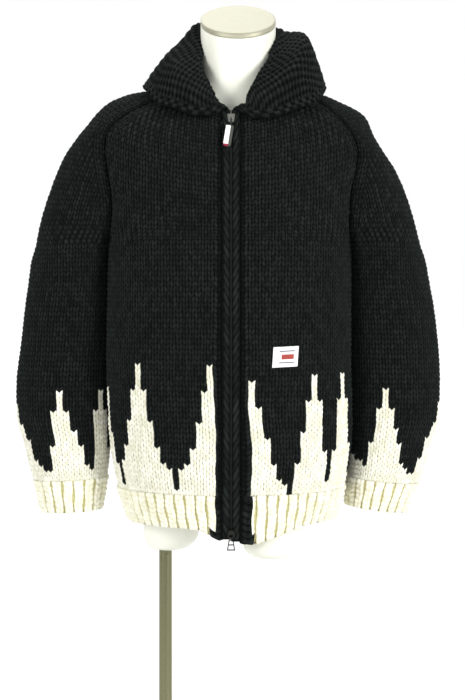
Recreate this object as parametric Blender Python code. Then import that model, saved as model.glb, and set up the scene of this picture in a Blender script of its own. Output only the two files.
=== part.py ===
"""Cowichan cardigan on a limbless torso form with a neck cap and a pole stand.

Frame: metres, +Z up, origin at the centre of the underside of the base plate.  The front faces -Y and
+X is the wearer's left.  Every cloth piece is a wall grown inward from the garment's outer surface.
"""

import math
from functools import partial

import bmesh
import bpy
import numpy as np
from mathutils import Vector

for stale in list(bpy.data.objects):
    bpy.data.objects.remove(stale, do_unlink=True)

# ---------------------------------------------------------------- cloth constants
CLOTH = 0.005            # thickness of the chunky knit
SEAM_HALF = 0.00015      # each piece stands back this far from its seam
UNDERARM_HALF = 0.0004   # half the clearance where body and sleeve turn away at the underarm
CENTRE_X = -0.0015       # the zip's centre line
BAND_INNER = 0.0017      # band edges, measured from the centre line
BAND_OUTER = 0.0143
PANEL_EDGE = 0.0146
BAND_PROUD = 0.0012      # how far a band's edge stands in front of the front panel
BAND_BULGE = 0.0012      # extra height of its two knit columns
BAND_TOP = 1.3285
HEM_TOP = 0.7112
HEM_BOTTOM = 0.6560
# the front hem's lower edge: share of the way from the zip to the side, and its height there
HEM_EDGE = {
    -1: ((0.0, 0.6380), (0.075, 0.6380), (0.142, 0.6480), (0.18, 0.6530), (0.26, 0.6550), (0.60, 0.6555), (1.0, 0.6560)),
    1: ((0.0, 0.6330), (0.060, 0.6318), (0.136, 0.6310), (0.185, 0.6345), (0.30, 0.6435), (0.40, 0.6512),
        (0.50, 0.6570), (0.70, 0.6590), (1.0, 0.6560)),
}
HEM_DRAW_IN = 0.0180     # how far the hem narrows at each side down to its edge
RIB_DEPTH = 0.0022
RIB_TOP_SHARE = 0.45     # part of the rib relief already there at the rib's upper edge
BAND_BOTTOM = {-1: 0.6385, 1: 0.6350}

FRONT_COLUMNS = 10
BACK_COLUMNS = 18
SLEEVE_COLUMNS = 16
COLLAR_STEPS = (0, 1, 2, 3, 4, 4.5, 5, 5.5, 6, 6.5, 7, 7.5, 8, 9, 10)
HEM_FRONT_RIBS = 13
HEM_BACK_RIBS = 26
CUFF_RIBS = 16
RIB_COLUMNS = 3          # grid columns in one rib: a groove and two raised ones
NEAR_EDGE = 0.02         # how far from a seam a panel's direction is read
ROW_STEP = 0.05          # how far along a seam its own direction is read
TORSO_MIDDLE = (0.0, 0.0, 1.2)
LEVEL_SEAM = -0.6        # below this the two cloths run on into each other at the seam
DROP_POWER = 1.6         # how the rows fall from the centre line to the side

# ---------------------------------------------------------------- garment tables
# height, half-width on the wearer's right, half-width on the wearer's left (side seams, y = 0)
SIDE_ROWS = (
    (0.7115, 0.1925, 0.1905),
    (0.7350, 0.1975, 0.1955),
    (0.7650, 0.2035, 0.2005),
    (0.8000, 0.2075, 0.2030),
    (0.8500, 0.2105, 0.2030),
    (0.9200, 0.2125, 0.2015),
    (1.0000, 0.2115, 0.2015),
    (1.0600, 0.2105, 0.2025),
    (1.0900, 0.2100, 0.2025),
)
# raglan seam from underarm to neckline; columns: seam half-width, seam half-depth, seam height,
# outer sleeve line half-width, outer sleeve line height, half angle of the sleeve section in degrees
RAGLAN_RIGHT = (
    (0.2090, 0.0000, 1.1200, 0.3335, 1.1140, 180),
    (0.2025, 0.0420, 1.1480, 0.3260, 1.1480, 142),
    (0.1985, 0.0580, 1.1760, 0.3165, 1.1810, 126),
    (0.2000, 0.0680, 1.2060, 0.3030, 1.2200, 115),
    (0.2060, 0.0730, 1.2440, 0.2860, 1.2600, 105),
    (0.2085, 0.0740, 1.2780, 0.2680, 1.2880, 97),
    (0.2030, 0.0730, 1.3040, 0.2470, 1.3150, 88),
    (0.1800, 0.0690, 1.3280, 0.2120, 1.3540, 78),
    (0.1450, 0.0610, 1.3470, 0.1700, 1.3720, 72),
    (0.1110, 0.0530, 1.3610, 0.1260, 1.3790, 68),
    (0.0790, 0.0470, 1.3730, 0.0860, 1.3880, 66),
)
RAGLAN_LEFT = (
    (0.2020, 0.0000, 1.1200, 0.3200, 1.1160, 180),
    (0.1960, 0.0420, 1.1480, 0.3110, 1.1480, 142),
    (0.1945, 0.0580, 1.1760, 0.3015, 1.1800, 126),
    (0.1970, 0.0680, 1.2060, 0.2900, 1.2120, 115),
    (0.2035, 0.0730, 1.2400, 0.2750, 1.2440, 105),
    (0.2070, 0.0740, 1.2700, 0.2580, 1.2690, 97),
    (0.1990, 0.0730, 1.2960, 0.2400, 1.2980, 88),
    (0.1780, 0.0690, 1.3240, 0.2215, 1.3360, 78),
    (0.1520, 0.0610, 1.3480, 0.1760, 1.3600, 72),
    (0.1250, 0.0530, 1.3620, 0.1400, 1.3760, 68),
    (0.0990, 0.0470, 1.3740, 0.1070, 1.3890, 66),
)
# heights of centre front and centre back at each raglan row, half angle of the front's section
RAGLAN_CENTRES = (
    (1.1200, 1.1200, 90), (1.1370, 1.1450, 82), (1.1550, 1.1700, 74), (1.1760, 1.1980, 67),
    (1.2000, 1.2290, 61), (1.2270, 1.2610, 57), (1.2520, 1.2920, 55), (1.2750, 1.3220, 54),
    (1.2960, 1.3510, 53), (1.3140, 1.3780, 53), (1.3300, 1.4040, 53),
)
# height, y of the front's centre line
FRONT_PROFILE = (
    (0.6300, -0.1085), (0.6520, -0.1110), (0.7112, -0.1235), (0.7600, -0.1290), (0.8400, -0.1310),
    (0.9400, -0.1310), (1.0400, -0.1315), (1.1200, -0.1340), (1.1900, -0.1360), (1.2400, -0.1325),
    (1.2800, -0.1220), (1.3100, -0.1100), (1.3400, -0.0960),
)
# height, y of the back's centre line
BACK_PROFILE = (
    (0.6520, 0.1040), (0.7112, 0.1150), (0.7600, 0.1190), (0.8600, 0.1210), (1.0000, 0.1180),
    (1.1200, 0.1240), (1.2000, 0.1290), (1.2800, 0.1260), (1.3300, 0.1150), (1.3700, 0.0990),
    (1.4060, 0.0800),
)
# sleeve below the underarm; columns: height of the inner line, its half-width, height of the outer
# line, its half-width, y of the section's centre, half-depth
SLEEVE_RIGHT = (
    (0.7239, 0.2150, 0.7180, 0.3380, 0.0220, 0.0490),
    (0.7450, 0.2120, 0.7405, 0.3470, 0.0250, 0.0530),
    (0.7750, 0.2095, 0.7715, 0.3585, 0.0280, 0.0570),
    (0.8250, 0.2090, 0.8230, 0.3680, 0.0300, 0.0600),
    (0.8850, 0.2095, 0.8850, 0.3690, 0.0300, 0.0610),
    (0.9450, 0.2095, 0.9450, 0.3615, 0.0280, 0.0620),
    (1.0050, 0.2090, 1.0050, 0.3545, 0.0240, 0.0640),
    (1.0600, 0.2090, 1.0580, 0.3475, 0.0190, 0.0660),
    (1.0950, 0.2105, 1.0910, 0.3420, 0.0120, 0.0690),
)
SLEEVE_LEFT = (
    (0.7239, 0.1985, 0.7130, 0.3180, 0.0220, 0.0490),
    (0.7450, 0.2000, 0.7370, 0.3285, 0.0250, 0.0530),
    (0.7750, 0.2015, 0.7695, 0.3415, 0.0280, 0.0570),
    (0.8250, 0.2015, 0.8220, 0.3530, 0.0300, 0.0600),
    (0.8850, 0.2005, 0.8850, 0.3560, 0.0300, 0.0610),
    (0.9450, 0.2000, 0.9450, 0.3530, 0.0280, 0.0620),
    (1.0050, 0.2000, 1.0050, 0.3460, 0.0240, 0.0640),
    (1.0600, 0.2015, 1.0580, 0.3370, 0.0190, 0.0660),
    (1.0950, 0.2035, 1.0910, 0.3300, 0.0120, 0.0690),
)
# the cuff's lower mouth: the same columns
CUFF_MOUTH = {
    -1: (0.6690, 0.2230, 0.6640, 0.3245, 0.0180, 0.0410),
    1: (0.6760, 0.1945, 0.6630, 0.2975, 0.0180, 0.0410),
}
UNDERARM_DEPTH = 0.0720
# how far the outer line of the sleeve is set back at each raglan row
RAGLAN_SET_BACK = (0.0080, 0.0060, 0.0040, 0.0020, 0.0010, 0.0, 0.0, 0.0, 0.0, 0.0, 0.0)
# soft folds; columns: piece, place across (0-1), height, spread across, spread in height,
# how far the fold climbs per unit across, depth (a trough is negative)
FOLDS = (
    ("sleeve", 0.30, 0.800, 0.16, 0.020, 0.10, -0.0050),
    ("sleeve", 0.42, 0.765, 0.20, 0.016, -0.08, -0.0055),
    ("sleeve", 0.62, 0.790, 0.16, 0.018, 0.12, -0.0045),
    ("sleeve", 0.25, 0.960, 0.12, 0.030, 0.20, -0.0040),
    ("sleeve", 0.36, 1.085, 0.10, 0.050, 0.30, -0.0060),
    ("sleeve", 0.66, 1.060, 0.12, 0.050, -0.25, -0.0050),
    ("front", 0.86, 1.060, 0.10, 0.070, 0.12, -0.0035),
    ("front", 0.45, 0.800, 0.20, 0.030, 0.10, -0.0030),
    ("back", 0.30, 0.880, 0.16, 0.060, 0.10, -0.0050),
    ("back", 0.68, 0.800, 0.14, 0.040, -0.10, -0.0045),
    ("back", 0.50, 1.230, 0.30, 0.050, 0.00, -0.0040),
)

# collar ribs from centre front to centre back; columns: place on the neckline (0-1 front panel,
# 1-2 sleeve head, 2-3 back), fold crest x y z, crown of the fall x y z, outer edge x y z
COLLAR_RIGHT = (
    (0.00, -0.0060, -0.1040, 1.3375, -0.0090, -0.1100, 1.3360, -0.0130, -0.1110, 1.3330),
    (0.20, -0.0235, -0.1000, 1.3500, -0.0270, -0.1130, 1.3400, -0.0290, -0.1170, 1.3245),
    (0.42, -0.0320, -0.0940, 1.3650, -0.0480, -0.1110, 1.3520, -0.0620, -0.1160, 1.3240),
    (0.68, -0.0410, -0.0840, 1.3830, -0.0700, -0.1020, 1.3690, -0.0950, -0.1030, 1.3370),
    (0.94, -0.0510, -0.0680, 1.4040, -0.0880, -0.0840, 1.3950, -0.1220, -0.0900, 1.3470),
    (1.22, -0.0570, -0.0400, 1.4330, -0.0980, -0.0540, 1.4240, -0.1400, -0.0580, 1.3690),
    (1.50, -0.0600, -0.0080, 1.4660, -0.1020, -0.0160, 1.4460, -0.1510, -0.0140, 1.3830),
    (1.78, -0.0590, 0.0240, 1.4950, -0.1000, 0.0260, 1.4510, -0.1460, 0.0340, 1.3820),
    (2.14, -0.0440, 0.0600, 1.5040, -0.0820, 0.0840, 1.4500, -0.1180, 0.1000, 1.3680),
    (2.57, -0.0170, 0.0800, 1.5040, -0.0420, 0.1120, 1.4460, -0.0620, 0.1330, 1.3560),
    (3.00, 0.0110, 0.0860, 1.5030, 0.0110, 0.1200, 1.4440, 0.0110, 0.1410, 1.3530),
)
COLLAR_LEFT = (
    (0.00, 0.0030, -0.1040, 1.3375, 0.0080, -0.1100, 1.3350, 0.0140, -0.1110, 1.3305),
    (0.20, 0.0235, -0.1000, 1.3470, 0.0300, -0.1140, 1.3370, 0.0360, -0.1190, 1.3180),
    (0.42, 0.0290, -0.0950, 1.3640, 0.0480, -0.1130, 1.3500, 0.0700, -0.1180, 1.3220),
    (0.68, 0.0385, -0.0870, 1.3810, 0.0720, -0.1040, 1.3700, 0.1010, -0.1060, 1.3340),
    (0.94, 0.0510, -0.0740, 1.4040, 0.0950, -0.0880, 1.4020, 0.1320, -0.0930, 1.3460),
    (1.22, 0.0680, -0.0500, 1.4330, 0.1180, -0.0600, 1.4400, 0.1510, -0.0600, 1.3640),
    (1.50, 0.0800, -0.0180, 1.4640, 0.1230, -0.0200, 1.4700, 0.1590, -0.0150, 1.3800),
    (1.78, 0.0820, 0.0200, 1.4870, 0.1180, 0.0280, 1.4780, 0.1560, 0.0340, 1.3800),
    (2.14, 0.0660, 0.0600, 1.4990, 0.0980, 0.0860, 1.4640, 0.1280, 0.0990, 1.3680),
    (2.57, 0.0400, 0.0800, 1.5030, 0.0600, 0.1130, 1.4500, 0.0740, 0.1330, 1.3560),
    (3.00, 0.0110, 0.0860, 1.5030, 0.0110, 0.1200, 1.4440, 0.0110, 0.1410, 1.3530),
)
COLLAR_LIFT = 0.0017     # clearance between the neckline and the collar's base
COLLAR_CLOTH = 0.0042    # a little thinner than the body, as it rolls over tightly
COLLAR_SEATED = (5.5, 7.5)   # between these ribs the stand leans on the neck
COLLAR_SEAT = 0.0007     # how far its corner points lie off the neck's surface
COLLAR_TIP = 0.0016      # thickness at the collar's two front ends
FOLD_RADIUS = 0.0092     # half the width of the collar's rolled top

# ---------------------------------------------------------------- form and stand tables
NECK_X = 0.0105
NECK_Y = 0.0060
NECK_RADIUS = 0.0640
CAP_TILT = math.radians(30.0)
CAP_CENTRE_Z = 1.4990
CAP_THICK = 0.0090
CAP_GAP = 0.0003
# height, centre x, half-width, centre y, half-depth, squareness
TORSO_ROWS = (
    (0.7000, 0.0000, 0.1150, 0.0000, 0.0700, 2.2),
    (0.7300, 0.0000, 0.1500, 0.0000, 0.0860, 2.3),
    (0.7800, 0.0000, 0.1680, 0.0000, 0.0960, 2.3),
    (0.8500, 0.0000, 0.1700, 0.0000, 0.0980, 2.3),
    (0.9300, 0.0000, 0.1560, 0.0000, 0.0900, 2.2),
    (1.0200, 0.0000, 0.1460, 0.0000, 0.0860, 2.2),
    (1.1000, 0.0000, 0.1580, 0.0000, 0.0940, 2.2),
    (1.1800, 0.0000, 0.1740, 0.0000, 0.1040, 2.3),
    (1.2500, 0.0000, 0.1820, 0.0000, 0.1000, 2.3),
    (1.2950, 0.0010, 0.1760, 0.0040, 0.0860, 2.2),
    (1.3250, 0.0020, 0.1540, 0.0060, 0.0740, 2.1),
    (1.3500, 0.0050, 0.1180, 0.0080, 0.0640, 2.0),
    (1.3720, 0.0085, 0.0820, 0.0080, 0.0600, 2.0),
    (1.3950, 0.0105, 0.0660, 0.0070, 0.0620, 2.0),
    (1.4200, 0.0105, 0.0640, 0.0060, 0.0640, 2.0),
)
TORSO_SIDES = 30
# thigh ends: height, centre x, centre y, radius
THIGH_RIGHT = (
    (0.5995, -0.1080, 0.0200, 0.0240), (0.6045, -0.1070, 0.0200, 0.0350), (0.6200, -0.1045, 0.0200, 0.0460),
    (0.6540, -0.1020, 0.0140, 0.0490), (0.7000, -0.0900, 0.0040, 0.0560), (0.7700, -0.0780, 0.0000, 0.0640),
)
THIGH_LEFT = (
    (0.5970, 0.0650, -0.0400, 0.0240), (0.6020, 0.0650, -0.0400, 0.0360), (0.6150, 0.0650, -0.0395, 0.0460),
    (0.6500, 0.0670, -0.0340, 0.0500), (0.7000, 0.0740, -0.0160, 0.0570), (0.7700, 0.0780, 0.0000, 0.0640),
)
THIGH_SIDES = 20
POLE_X = -0.1140
POLE_Y = 0.0200
POLE_RADIUS = 0.0110
POLE_TOP = 0.5992
SOCKET_RADIUS = 0.0220
SOCKET_TOP = 0.0380
SOCKET_BEVEL = 0.0040
PLATE_RADIUS = 0.1900
PLATE_THICK = 0.0080
PLATE_BEVEL = 0.0025
CONTACT = 0.0003

# ---------------------------------------------------------------- trim constants
CHAIN_HALF = 0.0014
TAPE_HALF = 0.0110
TAPE_THICK = 0.0010
BAND_THICK = 0.0055
ZIP_BOTTOM = 0.6400
ZIP_TOP = 1.3275
SLIDER_THICK = 0.0026
# centre height, half-width at the top, half-width at the bottom, half-height, gap to the bands
SLIDER_TOP = (1.3180, 0.0062, 0.0046, 0.0074, 0.0004)
SLIDER_BOTTOM = (0.6495, 0.0046, 0.0062, 0.0070, 0.0015)
PIN_RADIUS = 0.0009
POST_REACH = 0.0022
PIN_DROP = 0.0040        # the pin lies below the slider's centre
POST_HALF = 0.0029
POST_THICK = 0.0011
EYE_OUTER = 0.0024
EYE_INNER = 0.0013
EYE_HALF = 0.0014
EYE_SIDES = 16
# label: centre x, centre height, width, height, turn in degrees
LABEL = (0.0855, 0.9345, 0.0410, 0.0330, 2.0)
LABEL_OFF = 0.0004
LABEL_THICK = 0.0008

MATERIALS = {
    "yarn_black": ((0.018, 0.018, 0.020), 0.95, 0.0),
    "yarn_cream": ((0.820, 0.780, 0.640), 0.95, 0.0),
    "zip_metal": ((0.420, 0.420, 0.430), 0.35, 1.0),
    "zip_tape": ((0.015, 0.015, 0.017), 0.80, 0.0),
    "pull_tab": ((0.060, 0.060, 0.065), 0.60, 0.0),
    "label_cloth": ((0.860, 0.860, 0.840), 0.80, 0.0),
    "form_shell": ((0.860, 0.860, 0.850), 0.45, 0.0),
    "cap_metal": ((0.700, 0.700, 0.700), 0.25, 1.0),
    "stand_steel": ((0.560, 0.560, 0.570), 0.30, 1.0),
}


# ---------------------------------------------------------------- small helpers
def material(name):
    """The named material, made once."""
    if name in bpy.data.materials:
        return bpy.data.materials[name]
    colour, roughness, metallic = MATERIALS[name]
    made = bpy.data.materials.new(name)
    made.use_nodes = True
    shader = made.node_tree.nodes["Principled BSDF"]
    shader.inputs["Base Color"].default_value = (*colour, 1.0)
    shader.inputs["Roughness"].default_value = roughness
    shader.inputs["Metallic"].default_value = metallic
    made.diffuse_color = (*colour, 1.0)
    return made


def add_mesh(name, points, faces, mat, smooth_angle=40.0):
    """A mesh object with outward faces and smooth shading below the given edge angle."""
    mesh = bpy.data.meshes.new(name)
    mesh.from_pydata([tuple(map(float, p)) for p in points], [], faces)
    build = bmesh.new()
    build.from_mesh(mesh)
    bmesh.ops.recalc_face_normals(build, faces=build.faces)
    build.to_mesh(mesh)
    build.free()
    mesh.shade_smooth()
    mesh.set_sharp_from_angle(angle=math.radians(smooth_angle))
    mesh.materials.append(material(mat))
    obj = bpy.data.objects.new(name, mesh)
    bpy.context.scene.collection.objects.link(obj)
    return obj


def unit(v):
    """Vectors of length one along the last axis."""
    v = np.asarray(v, float)
    return v / np.maximum(np.linalg.norm(v, axis=-1, keepdims=True), 1e-12)


def spline(rows, at):
    """Catmull-Rom curve through table rows, read at fractional row numbers."""
    rows = np.asarray(rows, float)
    at = np.clip(np.atleast_1d(np.asarray(at, float)), 0.0, len(rows) - 1.0)
    low = np.minimum(at.astype(int), len(rows) - 2)
    t = (at - low)[..., None]
    p1 = rows[low]
    p2 = rows[low + 1]
    p0 = np.where((low > 0)[..., None], rows[np.maximum(low - 1, 0)], 2 * p1 - p2)
    p3 = np.where((low < len(rows) - 2)[..., None], rows[np.minimum(low + 2, len(rows) - 1)], 2 * p2 - p1)
    return 0.5 * (2 * p1 + (p2 - p0) * t + (2 * p0 - 5 * p1 + 4 * p2 - p3) * t ** 2
                  + (3 * p1 - p0 - 3 * p2 + p3) * t ** 3)


def profile(rows, key):
    """A two-column table read smoothly by its first column."""
    rows = np.asarray(rows, float)
    place = np.interp(key, rows[:, 0], np.arange(len(rows)))
    return spline(rows, place)[..., 1].reshape(np.shape(key))


def grid_faces(rows, columns, offset=0, closed=False):
    """Quads of a rows x columns point grid."""
    last = columns if closed else columns - 1
    return [(offset + r * columns + c, offset + r * columns + (c + 1) % columns,
             offset + (r + 1) * columns + (c + 1) % columns, offset + (r + 1) * columns + c)
            for r in range(rows - 1) for c in range(last)]


def wall(name, outer, inner, mat, closed=False, smooth_angle=40.0):
    """A closed wall between two matching point grids."""
    rows, columns = outer.shape[:2]
    count = rows * columns
    faces = grid_faces(rows, columns, 0, closed) + grid_faces(rows, columns, count, closed)
    edge = [(0, c) for c in range(columns)]
    far = [(rows - 1, c) for c in range(columns)]
    chains = [edge + edge[:1], far + far[:1]] if closed else [
        edge, far, [(r, 0) for r in range(rows)], [(r, columns - 1) for r in range(rows)]]
    for chain in chains:
        for a, b in zip(chain, chain[1:]):
            i = a[0] * columns + a[1]
            j = b[0] * columns + b[1]
            faces.append((i, j, count + j, count + i))
    points = np.concatenate([outer.reshape(-1, 3), inner.reshape(-1, 3)])
    return add_mesh(name, points, faces, mat, smooth_angle)


def loft(name, rings, mat, smooth_angle=40.0):
    """A closed solid through rings of equal point count, ended by flat faces."""
    rings = np.asarray(rings, float)
    rows, columns = rings.shape[:2]
    faces = grid_faces(rows, columns, 0, True)
    faces.append(tuple(range(columns)))
    faces.append(tuple((rows - 1) * columns + c for c in range(columns)))
    return add_mesh(name, rings.reshape(-1, 3), faces, mat, smooth_angle)


def normals_of(surface, across, along, step=1e-3):
    """Outward normals of surface(across, along) by small differences."""
    d_across = surface(across + step, along) - surface(across - step, along)
    d_along = surface(across, along + step) - surface(across, along - step)
    return unit(np.cross(d_across, d_along))


# ---------------------------------------------------------------- garment surfaces
BELOW = len(SIDE_ROWS)                 # row number of the underarm
ROWS = BELOW + len(RAGLAN_RIGHT) - 1   # row number of the neckline


def edge_rows(side):
    """Body edge points per row: half-width, half-depth, height; then centre heights and angle."""
    raglan = RAGLAN_RIGHT if side < 0 else RAGLAN_LEFT
    column = 1 if side < 0 else 2
    low = [(r[column], 0.0, r[0], r[0], r[0], 90.0) for r in SIDE_ROWS]
    high = [(e[0], e[1], e[2], *c) for e, c in zip(raglan, RAGLAN_CENTRES)]
    return np.array(low + high)


EDGES = {side: edge_rows(side) for side in (-1, 1)}


def fold_depth(piece, across, height):
    """Sum of the soft folds of a piece at a place across and a height."""
    total = np.zeros(np.shape(height))
    for kind, place, level, wide, tall, climb, depth in FOLDS:
        if kind != piece:
            continue
        rise = height - level - climb * (across - place) * wide
        total = total + depth * np.exp(-((across - place) / wide) ** 2 - (rise / tall) ** 2)
    return total


def body_point(side, facing, across, row):
    """The body's outer surface; across runs from the centre line (0) to the side (1)."""
    across, row = np.broadcast_arrays(np.asarray(across, float), np.asarray(row, float))
    edge = spline(EDGES[side], row.ravel()).reshape(row.shape + (6,))
    edge[..., 1] = np.maximum(edge[..., 1], 0.0)
    half_width, half_depth, high = edge[..., 0], edge[..., 1], edge[..., 2]
    centre_high = edge[..., 3] if facing < 0 else edge[..., 4]
    angle = np.radians(edge[..., 5])
    centre_y = profile(FRONT_PROFILE if facing < 0 else BACK_PROFILE, centre_high)
    turn = across * angle
    x = CENTRE_X + (side * half_width - CENTRE_X) * np.sin(turn) / np.sin(angle)
    y = centre_y + (facing * half_depth - centre_y) * (1 - np.cos(turn)) / (1 - np.cos(angle))
    z = centre_high + (high - centre_high) * np.abs(across) ** DROP_POWER
    base = np.stack([x, y, z], -1)
    if facing < 0:
        dent = fold_depth("front", across, z)
    else:
        dent = fold_depth("back", 0.5 + 0.5 * side * across, z)
    dent = dent * np.clip(6.0 * (1.0 - np.abs(across)), 0.0, 1.0)
    out = unit(np.stack([np.sin(turn) * side * 0.5, facing * np.cos(turn) + 0 * x, 0 * x], -1))
    return base + out * dent[..., None]


def band_across(side, row, offset=PANEL_EDGE):
    """The place across at which a front lies the given distance from the centre line."""
    edge = spline(EDGES[side], row)
    angle = np.radians(edge[:, 5])
    span = np.abs(side * edge[:, 0] - CENTRE_X)
    return np.arcsin(np.sin(angle) * offset / span) / angle


def sleeve_rows(side):
    """Sleeve section rows: inner line x z, outer line x z, centre y, half-depth, half angle."""
    raglan = RAGLAN_RIGHT if side < 0 else RAGLAN_LEFT
    lower = SLEEVE_RIGHT if side < 0 else SLEEVE_LEFT
    rows = [(r[1], r[0], r[3], r[2], r[4], r[5], 180.0, 0.0) for r in lower]
    for (half_width, half_depth, high, out_x, out_z, beta), back in zip(raglan, RAGLAN_SET_BACK):
        depth = UNDERARM_DEPTH if beta == 180 else half_depth / math.sin(math.radians(beta))
        rows.append((half_width, high, out_x, out_z, 0.0, depth, float(beta), back))
    return np.array(rows)


SLEEVES = {side: sleeve_rows(side) for side in (-1, 1)}


def sleeve_point(side, across, row):
    """The sleeve's outer surface; across runs from the back seam (0) to the front seam (1)."""
    across, row = np.broadcast_arrays(np.asarray(across, float), np.asarray(row, float))
    data = spline(SLEEVES[side], row.ravel()).reshape(row.shape + (8,))
    beta = np.radians(np.minimum(data[..., 6], 180.0))
    turn = (2 * across - 1) * beta
    reach = (np.cos(turn) - np.cos(beta)) / (1 - np.cos(beta))
    x = side * (data[..., 0] + (data[..., 2] - data[..., 0]) * reach)
    z = data[..., 1] + (data[..., 3] - data[..., 1]) * reach
    y = data[..., 4] + data[..., 7] * reach - data[..., 5] * np.sin(turn)
    base = np.stack([x, y, z], -1)
    dent = fold_depth("sleeve", across, z) * np.clip(8.0 * np.minimum(across, 1 - across), 0.0, 1.0)
    out = unit(np.stack([side * np.cos(turn), -np.sin(turn), 0 * x], -1))
    return base + out * dent[..., None]


RAGLAN_FIRST = 8         # grid rows below the underarm
RAGLAN_PARTS = 9         # grid rows along the raglan
BODY_STEPS = np.concatenate([np.linspace(0, BELOW, RAGLAN_FIRST + 1)[:-1],
                             np.linspace(BELOW, ROWS, RAGLAN_PARTS + 1)])


def raglan_seam(side, facing, rows):
    """Seam points, the direction into the cloth and the direction from body to sleeve."""
    sleeve_edge = 1.0 if facing < 0 else 0.0
    point = body_point(side, facing, 1.0, rows)
    ahead = body_point(side, facing, 1.0, np.minimum(rows + ROW_STEP, ROWS))
    behind = body_point(side, facing, 1.0, np.maximum(rows - ROW_STEP, BELOW))
    tangent = unit(ahead - behind)
    body_in = unit(body_point(side, facing, 1.0 - NEAR_EDGE, rows) - point)
    sleeve_in = unit(sleeve_point(side, abs(sleeve_edge - NEAR_EDGE), rows) - point)
    body_out = unit(np.cross(tangent, body_in))
    body_out = body_out * np.sign(np.einsum("ij,ij->i", body_out, point - TORSO_MIDDLE))[:, None]
    level = np.einsum("ij,ij->i", body_in, sleeve_in) < LEVEL_SEAM
    inward = np.where(level[:, None], -body_out, -unit(body_in + sleeve_in))
    flat = unit(np.cross(tangent, inward))
    toward = np.sign(np.einsum("ij,ij->i", flat, sleeve_in - body_in))[:, None]
    return point, inward, flat * toward


def shift_edges(outer, inner, column, seam, rows_used, sign):
    """Set one edge column of a grid on its side of the raglan seam."""
    point, inward, flat = seam
    outer[rows_used, column] = point + sign * flat * SEAM_HALF
    inner[rows_used, column] = outer[rows_used, column] + inward * CLOTH


SEAMS = {(side, facing): raglan_seam(side, facing, BODY_STEPS[RAGLAN_FIRST + 1:])
         for side in (-1, 1) for facing in (-1, 1)}
NECK_AXIS = np.array([NECK_X, NECK_Y, 0.0])
LEVEL = np.array([1.0, 1.0, 0.0])
BODY_MIDDLE = np.array([0.0, 0.0, 1.1])
EDGE_ROW = 0.01          # normals are read this far inside the first and last rows
EDGE_SHARE = 0.001       # and this far inside a side


def to_neck(points):
    """Level directions from points toward the neck's axis."""
    return unit((NECK_AXIS - points) * LEVEL)


def body_panel(name, columns):
    """A front or back from lists of (side, facing, across) columns, each over all rows."""
    outer = np.zeros((len(BODY_STEPS), len(columns), 3))
    inner = np.zeros_like(outer)
    raglan = np.arange(RAGLAN_FIRST + 1, len(BODY_STEPS))
    for c, (side, facing, across) in enumerate(columns):
        share = np.broadcast_to(across, BODY_STEPS.shape)
        outer[:, c] = body_point(side, facing, share, BODY_STEPS)
        inside = np.clip(BODY_STEPS, EDGE_ROW, ROWS - EDGE_ROW)
        normal = normals_of(partial(body_point, side, facing), np.minimum(share, 1 - EDGE_SHARE), inside)
        normal = normal * np.sign(np.einsum("ij,ij->i", normal, outer[:, c] - BODY_MIDDLE))[:, None]
        normal[0] = unit(normal[0] * LEVEL)
        inner[:, c] = outer[:, c] - normal * CLOTH
        if share.min() == 1.0:
            outer[:RAGLAN_FIRST + 1, c, 1] = facing * SEAM_HALF
            outer[RAGLAN_FIRST, c, 0] -= side * UNDERARM_HALF
            inner[:RAGLAN_FIRST + 1, c] = outer[:RAGLAN_FIRST + 1, c] - [side * CLOTH, 0, 0]
            shift_edges(outer, inner, c, SEAMS[side, facing], raglan, -1)
        top = outer[-1, c]
        inner[-1, c] = top + to_neck(top) * CLOTH
        if facing < 0 and c == 0:
            inner[:, c] = outer[:, c] + [0, CLOTH, 0]
    return wall(name, outer, inner, "yarn_black")


def front_panel(name, side):
    """One front, from its band edge to the side seam and raglan."""
    start = band_across(side, BODY_STEPS)
    shares = np.linspace(0, 1, FRONT_COLUMNS + 1)
    columns = [(side, -1, start + (1 - start) * s) for s in shares]
    return body_panel(name, columns)


def back_panel(name):
    """The back in one piece between the two side seams."""
    half = BACK_COLUMNS // 2
    shares = np.linspace(0, 1, half + 1)
    columns = [(-1, 1, s) for s in shares[::-1]] + [(1, 1, s) for s in shares[1:]]
    return body_panel(name, columns)


SLEEVE_EDGE = 0.004      # normals are read this far inside the sleeve's seams
ARM_MIDDLE = 0.35        # the arm's middle, from the inner line to the outer one


def sleeve(name, side):
    """One sleeve, closed under the arm and open between the two raglan seams above it."""
    shares = np.linspace(0, 1, SLEEVE_COLUMNS + 1)
    across, row = np.meshgrid(shares, BODY_STEPS)
    outer = sleeve_point(side, across, row)
    normal = normals_of(partial(sleeve_point, side), np.clip(across, SLEEVE_EDGE, 1 - SLEEVE_EDGE),
                        np.clip(row, EDGE_ROW, ROWS - EDGE_ROW))
    data = spline(SLEEVES[side], BODY_STEPS)
    middle = np.stack([side * (data[:, 0] + ARM_MIDDLE * (data[:, 2] - data[:, 0])), data[:, 4],
                       data[:, 1] + ARM_MIDDLE * (data[:, 3] - data[:, 1])], -1)
    normal = normal * np.sign(np.einsum("ijk,ijk->ij", normal, outer - middle[:, None]))[..., None]
    normal[0] = unit(normal[0] * LEVEL)
    inner = outer - normal * CLOTH
    low = np.arange(RAGLAN_FIRST + 1)
    high = np.arange(RAGLAN_FIRST + 1, len(BODY_STEPS))
    for column, facing in ((0, 1), (SLEEVE_COLUMNS, -1)):
        outer[low, column, 1] = data[low, 4] + facing * SEAM_HALF
        outer[RAGLAN_FIRST, column, 0] += side * UNDERARM_HALF
        inner[low, column] = outer[low, column] + [side * CLOTH, 0, 0]
        shift_edges(outer, inner, column, SEAMS[side, facing], high, 1)
    inner[-1] = outer[-1] + to_neck(outer[-1]) * CLOTH
    return wall(name, outer, inner, "yarn_black")


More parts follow.
